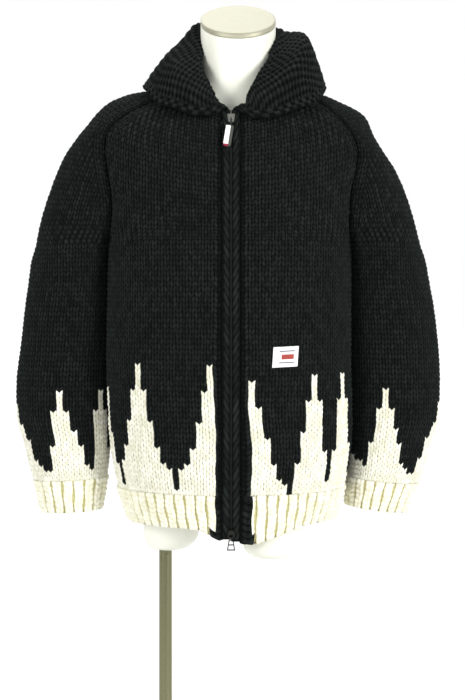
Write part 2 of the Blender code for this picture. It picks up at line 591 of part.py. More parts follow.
# ---------------------------------------------------------------- ribs
def rib_relief(columns, rows):
    """Rib height per grid point: a groove, then raised columns."""
    wave = np.where(np.arange(columns) % RIB_COLUMNS == 0, 0.0, RIB_DEPTH)
    fade = RIB_TOP_SHARE + (1 - RIB_TOP_SHARE) * np.clip(np.linspace(0, 2.5, rows), 0, 1)
    return fade[:, None] * wave[None, :]


RIB_ROWS = np.array([0.0, 0.22, 0.62, 1.0])
HEM_TAPER = 1.3          # the hem draws in faster toward its edge
CUFF_TAPER = 0.9


def hem_point(side, facing, across, down):
    """The hem's outer surface from its top (0) to its lower edge (1)."""
    across, down = np.broadcast_arrays(np.asarray(across, float), np.asarray(down, float))
    half_width = SIDE_ROWS[0][1 if side < 0 else 2] - HEM_DRAW_IN * down ** HEM_TAPER
    foot = profile(HEM_EDGE[side], np.abs(across)) if facing < 0 else HEM_BOTTOM
    z = HEM_TOP + (foot - HEM_TOP) * down
    level = HEM_TOP + (HEM_BOTTOM - HEM_TOP) * down
    centre_y = profile(FRONT_PROFILE if facing < 0 else BACK_PROFILE, level)
    turn = across * math.pi / 2
    x = CENTRE_X + (side * half_width - CENTRE_X) * np.sin(turn)
    y = centre_y * np.cos(turn)
    return np.stack([x, y, z], -1)


def hem_rib(name, columns, ends):
    """A rib band below a panel; ends name its edge columns' cut directions."""
    count = len(columns)
    outer = np.stack([hem_point(s, f, a, RIB_ROWS) for s, f, a in columns], 1)
    ahead = np.roll(outer, -1, 1)
    behind = np.roll(outer, 1, 1)
    ahead[:, -1], behind[:, 0] = outer[:, -1], outer[:, 0]
    normal = unit(np.cross(ahead - behind, [0, 0, 1.0]))
    normal = normal * np.sign(np.einsum("ijk,ijk->ij", normal, outer * LEVEL))[..., None]
    for column, direction in ends:
        normal[:, column] = direction
    inner = outer - normal * CLOTH
    relief = rib_relief(count, len(RIB_ROWS))
    relief[:, 0] = relief[:, -1] = 0.0
    outer = outer + normal * relief[..., None]
    side, facing = columns[0][:2]
    for column, direction in ends:
        if abs(direction[0]) > 0.5:
            outer[:, column, 1] = facing * SEAM_HALF
            inner[:, column, 1] = facing * SEAM_HALF
        else:
            outer[:, column, 0] = CENTRE_X + side * PANEL_EDGE
            inner[:, column, 0] = CENTRE_X + side * PANEL_EDGE
    return wall(name, outer, inner, "yarn_cream", smooth_angle=60.0)


def cuff_point(side, turn, down):
    """The cuff's outer surface; turn is an angle round it, down runs from its top (0) to its mouth."""
    top = np.array(SLEEVE_RIGHT[0] if side < 0 else SLEEVE_LEFT[0])
    mouth = np.array(CUFF_MOUTH[side])
    turn, down = np.broadcast_arrays(np.asarray(turn, float), np.asarray(down, float))
    data = top + (mouth - top) * (down ** CUFF_TAPER)[..., None]
    reach = 0.5 * (np.cos(turn) + 1)
    x = side * (data[..., 1] + (data[..., 3] - data[..., 1]) * reach)
    z = data[..., 0] + (data[..., 2] - data[..., 0]) * reach - 2 * SEAM_HALF * (1 - down)
    y = data[..., 4] - data[..., 5] * np.sin(turn)
    return np.stack([x, y, z], -1)


def cuff(name, side):
    """A ribbed cuff ring."""
    columns = CUFF_RIBS * RIB_COLUMNS
    turn, down = np.meshgrid(np.linspace(-math.pi, math.pi, columns, endpoint=False), RIB_ROWS)
    outer = cuff_point(side, turn, down)
    normal = unit(np.cross(np.roll(outer, -1, 1) - np.roll(outer, 1, 1), [0, 0, 1.0]))
    middle = outer.mean(axis=1, keepdims=True)
    normal = normal * np.sign(np.einsum("ijk,ijk->ij", normal, outer - middle))[..., None]
    inner = outer - normal * CLOTH
    outer = outer + normal * rib_relief(columns, len(RIB_ROWS))[..., None]
    return wall(name, outer, inner, "yarn_cream", closed=True, smooth_angle=60.0)


# ---------------------------------------------------------------- front closure
def front_line(height):
    """y of the front's centre line at a height."""
    return profile(FRONT_PROFILE, np.asarray(height, float))


CLOSURE_LEVELS = np.concatenate([np.linspace(0.66, 1.17, 12), np.linspace(1.20, 1.31, 7)])


def front_normal(height):
    """Outward direction of the front's centre line in the YZ plane."""
    slope = (front_line(height + 0.002) - front_line(height - 0.002)) / 0.004
    return unit(np.stack([0 * slope, -np.ones_like(slope), slope], -1))


def band(name, side):
    """A front band: two raised knit columns beside the zip."""
    heights = np.concatenate([[BAND_BOTTOM[side]], CLOSURE_LEVELS, [BAND_TOP]])
    offsets = np.linspace(BAND_INNER, BAND_OUTER, 7)
    bulge = np.array([0.0, 1.0, 1.0, 0.15, 1.0, 1.0, 0.0]) * BAND_BULGE
    normal = front_normal(heights)
    normal[0] = normal[-1] = (0, -1, 0)
    outer = np.zeros((len(heights), len(offsets), 3))
    outer[..., 0] = CENTRE_X + side * offsets
    outer[..., 1] = front_line(heights)[:, None]
    outer[..., 2] = heights[:, None]
    inner = outer - normal[:, None] * (BAND_THICK - BAND_PROUD)
    outer = outer + normal[:, None] * (BAND_PROUD + bulge)[None, :, None]
    return wall(name, outer, inner, "yarn_black")


def zip_strip(name):
    """The closed zip: a narrow chain in front of its tape."""
    heights = np.concatenate([[ZIP_BOTTOM], CLOSURE_LEVELS, [ZIP_TOP]])
    back = BAND_THICK - BAND_PROUD + 2 * CONTACT
    section = [(-CHAIN_HALF, 0.0), (CHAIN_HALF, 0.0), (CHAIN_HALF, -back), (TAPE_HALF, -back),
               (TAPE_HALF, -back - TAPE_THICK), (-TAPE_HALF, -back - TAPE_THICK), (-TAPE_HALF, -back),
               (-CHAIN_HALF, -back)]
    normal = front_normal(heights)
    normal[0] = normal[-1] = (0, -1, 0)
    rings = np.zeros((len(heights), len(section), 3))
    for c, (x, out) in enumerate(section):
        rings[:, c] = normal * out
        rings[:, c, 0] += CENTRE_X + x
        rings[:, c, 1] += front_line(heights)
        rings[:, c, 2] += heights
    return loft(name, rings, "zip_tape")


def local_frame(height, out):
    """Origin on the closure at a height and a distance in front, with normal and down directions."""
    normal = front_normal(np.array([height]))[0]
    origin = np.array([CENTRE_X, float(front_line(height)), height]) + normal * out
    down = np.array([0.0, normal[2], -normal[1]])
    down = down * (-1.0 if down[2] > 0 else 1.0)
    return origin, normal, down


def place(frame, points, lean=0.0):
    """Local (across, down, out) points in the garment's frame, leaned about the normal."""
    origin, normal, down = frame
    points = np.asarray(points, float)
    across = points[..., 0] * math.cos(lean) - points[..., 1] * math.sin(lean)
    drop = points[..., 0] * math.sin(lean) + points[..., 1] * math.cos(lean)
    world = origin + across[..., None] * np.array([1.0, 0, 0]) + drop[..., None] * down
    return world + points[..., 2:3] * normal


def block_rings(frame, outline, low, high, lean=0.0):
    """Two rings of an outline (across, down) between two distances out."""
    flat = np.array([(x, d, low) for x, d in outline])
    top = np.array([(x, d, high) for x, d in outline])
    return [place(frame, flat, lean), place(frame, top, lean)]


def add_union(base, rings, mat, number):
    """Join one more loft to a base solid."""
    extra = loft(f"{base.name}_add_{number}", rings, mat)
    extra.hide_render = True
    extra.display_type = "WIRE"
    cut = base.modifiers.new(f"union_{number}", "BOOLEAN")
    cut.operation = "UNION"
    cut.solver = "EXACT"
    cut.object = extra
    return extra


SLIDER_OUT = BAND_PROUD + BAND_BULGE
SLIDER_CORNER = 0.0012
PIN_OUT = SLIDER_THICK + 0.0026
POST_ABOVE = 0.0014      # the posts reach this far in front of the pin's axis
POST_ROOT = 0.0004       # and this far into the slider's body
POST_SQUARE = 1.5        # squareness of the posts' section


def slider(name, spec):
    """A zip slider: a tapered body with two posts and a pin for the pull."""
    height, top_half, low_half, half_high, gap = spec
    frame = local_frame(height, SLIDER_OUT + gap)
    soft = SLIDER_CORNER
    right = [(top_half - soft, -half_high), (top_half, -half_high + soft), (low_half, half_high - soft),
             (low_half - soft, half_high)]
    outline = right + [(-x, d) for x, d in right[::-1]]
    body = loft(name, block_rings(frame, outline, 0.0, SLIDER_THICK), "zip_metal")
    middle = 0.5 * (SLIDER_THICK - POST_ROOT + PIN_OUT + POST_ABOVE)
    reach = middle - (SLIDER_THICK - POST_ROOT)
    turns = np.arange(8) * math.pi / 4
    post = [(PIN_DROP + POST_REACH * np.clip(POST_SQUARE * math.cos(t), -1, 1),
             middle + reach * np.clip(POST_SQUARE * math.sin(t), -1, 1)) for t in turns]
    pin = [(PIN_DROP + PIN_RADIUS * math.cos(t), PIN_OUT + PIN_RADIUS * math.sin(t)) for t in turns]
    inner = POST_HALF - POST_THICK
    half = [(POST_HALF, post), (inner, post), (inner, pin)]
    stations = [(-x, section) for x, section in half] + half[::-1]
    stirrup = [place(frame, [(x, d, o) for d, o in section]) for x, section in stations]
    add_union(body, stirrup, "zip_metal", 0)
    return body


def pin_centre(spec):
    """Where a slider's pin lies."""
    frame = local_frame(spec[0], SLIDER_OUT + spec[4])
    return place(frame, np.array([(0.0, PIN_DROP, PIN_OUT)]))[0]


def set_pivot(obj, pivot):
    """Move an object's origin to a pivot without moving its shape."""
    shift = Vector([float(v) for v in pivot])
    for vertex in obj.data.vertices:
        vertex.co -= shift
    obj.location = shift


def tube_points(frame, radius, half, lean=0.0, sides=EYE_SIDES):
    """Two rings of a short cylinder along X round the local origin."""
    turn = np.linspace(0, 2 * math.pi, sides, endpoint=False)
    return [place(frame, [(x, radius * math.cos(a), radius * math.sin(a)) for a in turn], lean)
            for x in (-half, half)]


def eye_ring(name, frame, mat):
    """A short tube along X: the pull's eye."""
    outer = np.array(tube_points(frame, EYE_OUTER, EYE_HALF))
    inner = np.array(tube_points(frame, EYE_INNER, EYE_HALF))
    return wall(name, outer, inner, mat, closed=True)


def pull_frame(spec, plumb=False):
    """The pull's frame: origin on its pin, lying along the closure or hanging plumb."""
    normal, down = local_frame(spec[0], SLIDER_OUT + spec[4])[1:]
    if plumb:
        normal, down = np.array([0.0, -1.0, 0.0]), np.array([0.0, 0.0, -1.0])
    return pin_centre(spec), normal, down


TOP_LEAN = math.radians(8.0)
TAB_TOP = 0.0100
TAB_END = 0.0500
TAB_HALF = 0.0062
TAB_LOW = -0.0030
TAB_HIGH = -0.0008
TAB_CORNER = 0.0022
SHANK_HALF = 0.0013
SHANK_TOP = 0.0018       # inside the eye's ring
SHANK_LAP = 0.0020       # how far the shank runs into the tab
SHANK_LOW = -0.0022
SHANK_HIGH = 0.0004


def bar(half_top, top, half_low, low):
    """Outline of a symmetric bar from its upper half-width and place to its lower ones."""
    return [(-half_top, top), (half_top, top), (half_low, low), (-half_low, low)]


def pull_top(name):
    """The upper pull: an eye, a short shank and a soft tab with rounded corners."""
    frame = pull_frame(SLIDER_TOP)
    obj = eye_ring(name, frame, "pull_tab")
    shank = bar(SHANK_HALF, SHANK_TOP, SHANK_HALF, TAB_TOP + SHANK_LAP)
    soft = TAB_CORNER
    right = [(TAB_HALF - soft, TAB_TOP), (TAB_HALF, TAB_TOP + soft), (TAB_HALF, TAB_END - soft),
             (TAB_HALF - soft, TAB_END)]
    tab = right + [(-x, d) for x, d in right[::-1]]
    adds = [add_union(obj, block_rings(frame, shank, SHANK_LOW, SHANK_HIGH), "pull_tab", 0),
            add_union(obj, block_rings(frame, tab, TAB_LOW, TAB_HIGH, TOP_LEAN), "pull_tab", 1)]
    return obj, adds, frame[0]


WIRE = 0.0008            # half the wire's width
WIRE_TOP_HALF = 0.0030
WIRE_LOW_HALF = 0.0058
WIRE_START = 0.0034
WIRE_END = 0.0205
WIRE_BAR = 0.0115
WIRE_BACK = -0.0006
WIRE_STEP = 0.0001       # the crossing wires lie this much out of line, so no two faces coincide


def pull_bottom(name):
    """The lower pull: an eye with an open wire frame, wider at its foot, and a crossbar."""
    frame = pull_frame(SLIDER_BOTTOM, plumb=True)
    obj = eye_ring(name, frame, "zip_metal")
    top, low = WIRE_TOP_HALF, WIRE_LOW_HALF
    at_bar = top + (low - top) * (WIRE_BAR - WIRE_START) / (WIRE_END - WIRE_START)
    legs = [[(s * top - WIRE, WIRE_START), (s * top + WIRE, WIRE_START), (s * low + WIRE, WIRE_END),
             (s * low - WIRE, WIRE_END)] for s in (-1, 1)]
    foot = bar(low + WIRE, WIRE_END - 2 * WIRE, low, WIRE_END)
    middle = bar(at_bar, WIRE_BAR - WIRE, at_bar, WIRE_BAR + WIRE)
    head = bar(top + WIRE, WIRE_START, top + WIRE, WIRE_START + 2 * WIRE)
    shank = bar(WIRE, SHANK_TOP, WIRE, WIRE_START + WIRE)
    shapes = ((legs[0], 0), (legs[1], 0), (foot, 1), (middle, 1), (head, -1), (shank, -2))
    adds = []
    for number, (shape, step) in enumerate(shapes):
        back = WIRE_BACK + step * WIRE_STEP
        adds.append(add_union(obj, block_rings(frame, shape, back, back + 2 * WIRE), "zip_metal", number))
    return obj, adds, frame[0]


def label(name):
    """A woven label lying on the wearer's left front."""
    x0, z0, wide, tall, turn = LABEL
    turn = math.radians(turn)
    grid = np.array([[(a, b) for a in np.linspace(-0.5, 0.5, 6)] for b in np.linspace(-0.5, 0.5, 4)])
    across, up = grid[..., 0] * wide, grid[..., 1] * tall
    x = x0 + across * math.cos(turn) - up * math.sin(turn)
    z = z0 + across * math.sin(turn) + up * math.cos(turn)
    sides = np.array(SIDE_ROWS + ((RAGLAN_LEFT[0][2], RAGLAN_RIGHT[0][0], RAGLAN_LEFT[0][0]),))
    half = np.interp(z, sides[:, 0], sides[:, 2])
    sine = (x - CENTRE_X) / (half - CENTRE_X)
    y = profile(FRONT_PROFILE, z) * np.sqrt(1 - sine ** 2)
    points = np.stack([x, y, z], -1)
    normal = unit(np.stack([x * 0.35, y, 0 * x], -1))
    inner = points + normal * LABEL_OFF
    return wall(name, inner + normal * LABEL_THICK, inner, "label_cloth")


# ---------------------------------------------------------------- collar
def neckline(side, place_on):
    """A point on the neckline: 0-1 over the front, 1-2 over the sleeve head, 2-3 over the back."""
    if place_on <= 1.0:
        start = float(band_across(side, np.array([float(ROWS)]), 0.0040)[0])
        return body_point(side, -1, start + (1 - start) * place_on, float(ROWS))
    if place_on <= 2.0:
        return sleeve_point(side, 2.0 - place_on, float(ROWS))
    return body_point(side, 1, 3.0 - place_on, float(ROWS))


def seat_on_neck(point):
    """The point moved level until it lies just off the neck."""
    out = unit((point - NECK_AXIS) * np.array([1.0, 1.0, 0.0]))
    return NECK_AXIS * [1, 1, 0] + out * (NECK_RADIUS + COLLAR_SEAT) + np.array([0, 0, point[2]])


def collar_rib(side, at):
    """One rib of the collar: up the neck, over the fold and down the fall."""
    rows = COLLAR_RIGHT if side < 0 else COLLAR_LEFT
    data = spline(rows, at)[0]
    base = neckline(side, float(np.clip(data[0], 0.0, 3.0)))
    inward = to_neck(base)
    base = base + inward * (CLOTH + 0.0006) + np.array([0, 0, COLLAR_LIFT])
    crest, crown, edge = data[1:4], data[4:7], data[7:10]
    level = unit((crown - crest) * np.array([1.0, 1.0, 0.0]))
    roll = min(FOLD_RADIUS, 0.45 * float(np.linalg.norm(crown - crest)) + 0.001)
    near = crest - level * roll * 0.75 - np.array([0, 0, roll * 0.9])
    far = crest + level * roll + np.array([0, 0, -roll * 0.25])
    belly = 0.5 * (crown + edge) + 0.03 * np.linalg.norm(crown - edge) * unit(crest - base + level * 0.6)
    if COLLAR_SEATED[0] <= at <= COLLAR_SEATED[1]:
        near = seat_on_neck(near)
    stand = 0.5 * (base + near) + inward * 0.001
    return np.array([base, stand, near, crest, far, crown, belly, edge])


def collar(name):
    """The folded collar: its neck face, roll and fall as one thick wall."""
    ribs = [collar_rib(-1, s) for s in COLLAR_STEPS] + [collar_rib(1, s) for s in COLLAR_STEPS[::-1][1:]]
    outer = np.array(ribs).transpose(1, 0, 2)
    d_up = np.gradient(outer, axis=0)
    d_round = np.gradient(outer, axis=1)
    normal = unit(np.cross(d_round, d_up))
    toward = to_neck(outer[0])
    flip = np.sign(np.einsum("ij,ij->i", normal[0], toward).sum())
    normal = normal * flip
    normal[0] = unit(toward)
    from_end = np.minimum(np.arange(outer.shape[1]), np.arange(outer.shape[1])[::-1])
    thick = COLLAR_TIP + (COLLAR_CLOTH - COLLAR_TIP) * np.clip(from_end / 5.0, 0, 1)
    inner = outer - normal * thick[None, :, None]
    return wall(name, outer, inner, "yarn_black")


# ---------------------------------------------------------------- form and stand
def super_ring(x0, y0, a, b, z, power, sides):
    """A superellipse ring."""
    turn = np.linspace(0, 2 * math.pi, sides, endpoint=False)
    c, s = np.cos(turn), np.sin(turn)
    x = x0 + a * np.sign(c) * np.abs(c) ** (2 / power)
    y = y0 + b * np.sign(s) * np.abs(s) ** (2 / power)
    return np.stack([x, y, np.full(sides, z)], -1)


def tilted(x, y, base_z):
    """Height of the cap's slanted plane over a point."""
    return base_z + (y - NECK_Y) * math.tan(CAP_TILT)


def form_torso(name):
    """The limbless torso with its neck and two short thigh ends."""
    rings = [super_ring(x0, y0, a, b, z, p, TORSO_SIDES) for z, x0, a, y0, b, p in TORSO_ROWS]
    top = super_ring(NECK_X, NECK_Y, NECK_RADIUS, NECK_RADIUS, 0.0, 2.0, TORSO_SIDES)
    top[:, 2] = tilted(top[:, 0], top[:, 1], CAP_CENTRE_Z - CAP_THICK / 2 - CAP_GAP)
    body = loft(name, rings + [top], "form_shell", 50.0)
    for number, rows in enumerate((THIGH_RIGHT, THIGH_LEFT)):
        stub = [super_ring(x, y, r, r, z, 2.0, THIGH_SIDES) for z, x, y, r in rows]
        add_union(body, stub, "form_shell", number)
    return body


def neck_cap(name):
    """The spun metal cap on the slanted neck, with softened rims."""
    rows = ((-0.5, -0.0010), (-0.38, 0.0), (0.30, 0.0), (0.5, -0.0030))
    rings = []
    for share, grow in rows:
        ring = super_ring(NECK_X, NECK_Y, NECK_RADIUS + grow, NECK_RADIUS + grow, 0.0, 2.0, 40)
        ring[:, 2] = tilted(ring[:, 0], ring[:, 1], CAP_CENTRE_Z + share * CAP_THICK)
        rings.append(ring)
    return loft(name, rings, "cap_metal", 50.0)


def turned(name, x0, y0, rows, sides, mat):
    """A round solid about a vertical axis from (radius, height) rows."""
    return loft(name, [super_ring(x0, y0, r, r, z, 2.0, sides) for r, z in rows], mat, 35.0)


# ---------------------------------------------------------------- build the pieces
front_panel("front_right", -1)
front_panel("front_left", 1)
back_panel("back")
sleeve("sleeve_right", -1)
sleeve("sleeve_left", 1)
collar("collar")
band("band_right", -1)
band("band_left", 1)

SIDE_CUT = {-1: (-1.0, 0.0, 0.0), 1: (1.0, 0.0, 0.0)}
FRONT_CUT = (0.0, -1.0, 0.0)
HEM_SPAN = 0.1835        # half-width at the hem's middle, for its first column
for side, name in ((-1, "hem_rib_right"), (1, "hem_rib_left")):
    first = math.asin(PANEL_EDGE / HEM_SPAN) / (math.pi / 2)
    places = first + (1 - first) * np.linspace(0, 1, HEM_FRONT_RIBS * RIB_COLUMNS + 1)
    hem_rib(name, [(side, -1, a) for a in places], ((0, FRONT_CUT), (-1, SIDE_CUT[side])))
spread = np.linspace(-1, 1, HEM_BACK_RIBS * RIB_COLUMNS + 1)
hem_rib("hem_rib_back", [(-1 if a < 0 else 1, 1, abs(a)) for a in spread],
        ((0, SIDE_CUT[-1]), (-1, SIDE_CUT[1])))

cuff("cuff_right", -1)
cuff("cuff_left", 1)
zip_strip("zip")
slider("slider_top", SLIDER_TOP)
slider("slider_bottom", SLIDER_BOTTOM)
label("label")

for maker, name in ((pull_top, "pull_top"), (pull_bottom, "pull_bottom")):
    pull, extras, pivot = maker(name)
    for piece in [pull] + extras:
        set_pivot(piece, pivot)

form_torso("form_torso")
neck_cap("neck_cap")
POLE_RINGS = ((POLE_RADIUS, SOCKET_TOP + CONTACT), (POLE_RADIUS, POLE_TOP))
SOCKET_RINGS = ((SOCKET_RADIUS, PLATE_THICK + CONTACT), (SOCKET_RADIUS, SOCKET_TOP - SOCKET_BEVEL),
                (SOCKET_RADIUS - SOCKET_BEVEL, SOCKET_TOP))
PLATE_RINGS = ((PLATE_RADIUS, 0.0), (PLATE_RADIUS, PLATE_THICK - PLATE_BEVEL),
               (PLATE_RADIUS - PLATE_BEVEL, PLATE_THICK))
turned("pole", POLE_X, POLE_Y, POLE_RINGS, 28, "stand_steel")
turned("pole_socket", POLE_X, POLE_Y, SOCKET_RINGS, 32, "stand_steel")
turned("base_plate", 0.0, 0.0, PLATE_RINGS, 64, "stand_steel")
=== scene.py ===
# %% [markdown]
# # A chunky knitted cardigan on a shop form
# The garment is knitted from thick six-ply wool: plain stockinette fronts, back and raglan sleeves,
# a folded collar in moss stitch, ribbed hem and cuffs and a two-way zip between two cord bands.
# It hangs on a limbless torso form with a metal neck cap and a pole stand.
# The solids loaded here are the fixed frame: every piece below is made round one of them, in metres.

# %% The frame
import math

import bpy
import numpy as np
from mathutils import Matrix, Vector


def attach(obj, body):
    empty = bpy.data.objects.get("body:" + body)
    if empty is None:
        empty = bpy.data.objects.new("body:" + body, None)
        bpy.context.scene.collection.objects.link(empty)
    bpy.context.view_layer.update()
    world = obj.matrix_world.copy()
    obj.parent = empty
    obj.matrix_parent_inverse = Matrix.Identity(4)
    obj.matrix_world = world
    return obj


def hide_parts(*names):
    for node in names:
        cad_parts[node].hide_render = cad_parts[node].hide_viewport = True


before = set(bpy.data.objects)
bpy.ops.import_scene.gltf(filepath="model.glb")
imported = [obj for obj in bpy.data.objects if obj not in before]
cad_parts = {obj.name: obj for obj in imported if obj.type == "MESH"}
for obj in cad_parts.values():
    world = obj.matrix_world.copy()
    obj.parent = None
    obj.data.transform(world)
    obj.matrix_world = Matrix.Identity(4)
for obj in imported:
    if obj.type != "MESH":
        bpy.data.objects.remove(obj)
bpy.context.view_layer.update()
GARMENT = "garment_and_form"

# %% [markdown]
# ## Shading nodes
# A surface's colour and roughness come from small node trees.  A few short functions keep each tree
# readable: one gives a node its inputs, one adds a node, and the others make what every finish
# needs: a sum, a noise, a mix of two colours by a mask, a soft step and a bump.

# %% Node helpers


def feed(node, inputs):
    """Give a node its inputs: a socket is linked, and anything else is set as the value."""
    for key, value in inputs.items():
        if isinstance(value, bpy.types.NodeSocket):
            node.id_data.links.new(value, node.inputs[key])
        else:
            node.inputs[key].default_value = value


def nodes_of(tree):
    """A short way to add nodes: add(kind, {setting: value}, {input: value or socket})."""
    def add(kind, settings=None, inputs=None):
        """One node with its settings and inputs."""
        node = tree.nodes.new(kind)
        for key, value in (settings or {}).items():
            setattr(node, key, value)
        feed(node, inputs or {})
        return node
    return add


def maths(add, operation, a, b=None, c=None, clamp=False):
    """One Math node and its result."""
    inputs = {k: v for k, v in enumerate((a, b, c)) if v is not None}
    return add("ShaderNodeMath", {"operation": operation, "use_clamp": clamp}, inputs).outputs[0]


def plain_material(name):
    """A material with its shader and a helper that adds nodes to it."""
    material = bpy.data.materials.new(name)
    material.use_nodes = True
    return material, material.node_tree.nodes["Principled BSDF"], nodes_of(material.node_tree)


def noise(add, place, scale, detail, roughness=0.5):
    """Noise from 0 to 1 that varies with a place."""
    return add("ShaderNodeTexNoise", None, {"Vector": place, "Scale": scale, "Detail": detail,
                                            "Roughness": roughness}).outputs["Fac"]


def mixed(add, mask, low, high):
    """A colour between two by a mask; each of the two is red, green and blue, or a socket."""
    low, high = (c if isinstance(c, bpy.types.NodeSocket) else (*c, 1.0) for c in (low, high))
    return add("ShaderNodeMix", {"data_type": "RGBA"}, {"Factor": mask, 6: low, 7: high}).outputs[2]


def ramp(add, value, low, high, to_low=0.0, to_high=1.0):
    """A soft step from one value to another while the input goes from low to high."""
    inputs = {"Value": value, "From Min": low, "From Max": high, "To Min": to_low, "To Max": to_high}
    return add("ShaderNodeMapRange", {"interpolation_type": "SMOOTHSTEP"}, inputs).outputs[0]


def dress(add, shader, inputs, height, strength, distance):
    """The shader's inputs, and fine relief from a height as a bump on its normal."""
    bump = add("ShaderNodeBump", None, {"Height": height, "Strength": strength, "Distance": distance})
    feed(shader, {**inputs, "Normal": bump.outputs["Normal"]})


print("node helpers:", [f.__name__ for f in (feed, nodes_of, maths, noise, mixed, ramp, dress)])

# %% [markdown]
# ## Camera and light
# A garment on a form is seen best level with its chest from about two metres, with the lens
# shifted down so that upright lines stay upright.  A camera shift does this without tilting.
# Two tall soft lamps stand left and right of the camera, and the pale floor and sky fill the shadows.

# %% Camera and soft light
DISTANCE = 2.2
EYE_HEIGHT = 1.05
SENSOR = 36.0            # width of the camera's sensor in millimetres
SCALE = 0.0017           # metres for each pixel of the frame at the form's middle
WIDE, TALL = 465, 700    # size of the frame in pixels
ZIP_COLUMN = 232.0       # the form's middle stands this far from the frame's left edge
EYE_ROW = 285.0          # the camera's own height lies this far under the frame's top edge

camera_data = bpy.data.cameras.new("camera")
camera_data.sensor_width = SENSOR
camera_data.lens = SENSOR * DISTANCE / (SCALE * TALL)
camera_data.shift_x = (WIDE / 2 - ZIP_COLUMN) / TALL
camera_data.shift_y = (EYE_ROW - TALL / 2) / TALL
camera_data.clip_end = 60.0
camera = bpy.data.objects.new("camera", camera_data)
camera.location = (0.0, -DISTANCE, EYE_HEIGHT)
camera.rotation_euler = (math.radians(90.0), 0.0, 0.0)
bpy.context.scene.collection.objects.link(camera)
bpy.context.scene.camera = camera
bpy.context.scene.view_settings.view_transform = "Standard"


def soft_lamp(name, place, target, size, watts):
    """A square area lamp at a place, turned toward a target."""
    data = bpy.data.lights.new(name, "AREA")
    data.shape = "RECTANGLE"
    data.size, data.size_y = size
    data.energy = watts
    lamp = bpy.data.objects.new(name, data)
    lamp.location = place
    lamp.rotation_euler = (Vector(target) - Vector(place)).to_track_quat("-Z", "Y").to_euler()
    bpy.context.scene.collection.objects.link(lamp)
    return lamp


MIDDLE = (0.0, 0.0, 1.05)
soft_lamp("left_lamp", (-2.3, -2.5, 2.0), MIDDLE, (1.0, 1.6), 72.0)
soft_lamp("right_lamp", (2.5, -2.3, 1.9), MIDDLE, (1.0, 1.6), 102.0)
soft_lamp("front_lamp", (0.0, -3.0, 1.6), MIDDLE, (1.6, 1.6), 12.0)
soft_lamp("top_lamp", (-0.4, 0.8, 3.4), MIDDLE, (2.0, 2.0), 40.0)
DARK_SIDE = (-0.20, -0.98, 0.0)      # the direction in which the room is darkest
DARKEST = 0.13                       # its light there


def sky():
    """A white room that fades toward one side, so that metal and the white form show their shape."""
    made = bpy.data.worlds.new("sky")
    made.use_nodes = True
    add = nodes_of(made.node_tree)
    view = add("ShaderNodeTexCoord").outputs["Generated"]
    toward = add("ShaderNodeVectorMath", {"operation": "DOT_PRODUCT"}, {0: view, 1: DARK_SIDE})
    light = ramp(add, toward.outputs["Value"], -0.55, 0.35, 1.0, DARKEST)
    feed(made.node_tree.nodes["Background"], {"Color": (1.0, 1.0, 1.0, 1.0), "Strength": light})
    return made


bpy.context.scene.world = sky()
print("lens", round(camera_data.lens, 2), "mm")

# %% [markdown]
# ## From arrays to meshes
# Knitted cloth has tens of thousands of faces, so points, faces and texture places are worked out as
# whole numpy arrays and put into the mesh in one go.  A face list typed by hand or a modifier stack
# could not follow each stitch.  The signed volume of a closed mesh tells which way its faces look.

# %% Curves and lengths


def unit(v):
    """Vectors of length one along the last axis."""
    v = np.asarray(v, float)
    return v / np.maximum(np.linalg.norm(v, axis=-1, keepdims=True), 1e-12)


def spline(rows, at):
    """Catmull-Rom curve through table rows, read at fractional row numbers."""
    rows = np.asarray(rows, float)
    at = np.clip(np.atleast_1d(np.asarray(at, float)), 0.0, len(rows) - 1.0)
    low = np.minimum(at.astype(int), len(rows) - 2)
    t = (at - low)[..., None]
    p1 = rows[low]
    p2 = rows[low + 1]
    p0 = np.where((low > 0)[..., None], rows[np.maximum(low - 1, 0)], 2 * p1 - p2)
    p3 = np.where((low < len(rows) - 2)[..., None], rows[np.minimum(low + 2, len(rows) - 1)], 2 * p2 - p1)
    return 0.5 * (2 * p1 + (p2 - p0) * t + (2 * p0 - 5 * p1 + 4 * p2 - p3) * t ** 2
                  + (3 * p1 - p0 - 3 * p2 + p3) * t ** 3)


def profile(rows, key):
    """A two-column table read smoothly by its first column."""
    rows = np.asarray(rows, float)
    place = np.interp(key, rows[:, 0], np.arange(len(rows)))
    return spline(rows, place)[..., 1].reshape(np.shape(key))


def arc(points, axis):
    """Running length along one axis of a point grid, starting at nought."""
    total = np.cumsum(np.linalg.norm(np.diff(points, axis=axis), axis=-1), axis=axis)
    return np.concatenate([np.zeros_like(np.take(total, [0], axis=axis)), total], axis=axis)


turn = np.linspace(0, math.pi / 2, 90)
print("length of a quarter circle:", round(float(arc(np.stack([np.cos(turn), np.sin(turn)], -1), 0)[-1]), 4))

# %% [markdown]
# Faces are lists of point numbers, and a grid's or a tube's faces follow from its numbering alone.

# %% Faces and meshes


def grid_quads(index):
    """The quads between the neighbours in a grid of point numbers."""
    return np.stack([index[:-1, :-1], index[:-1, 1:], index[1:, 1:], index[1:, :-1]], -1).reshape(-1, 4)


def border(index):
    """Point numbers once round the edge of a grid, from its first corner."""
    return np.concatenate([index[0, :-1], index[:-1, -1], index[-1, :0:-1], index[:0:-1, 0]])


def tube_quads(rows, columns):
    """The quads of a tube through rings of equal point count."""
    index = np.arange(rows * columns).reshape(rows, columns)
    beside = np.roll(index, -1, 1)
    return np.stack([index[:-1], beside[:-1], beside[1:], index[1:]], -1).reshape(-1, 4)


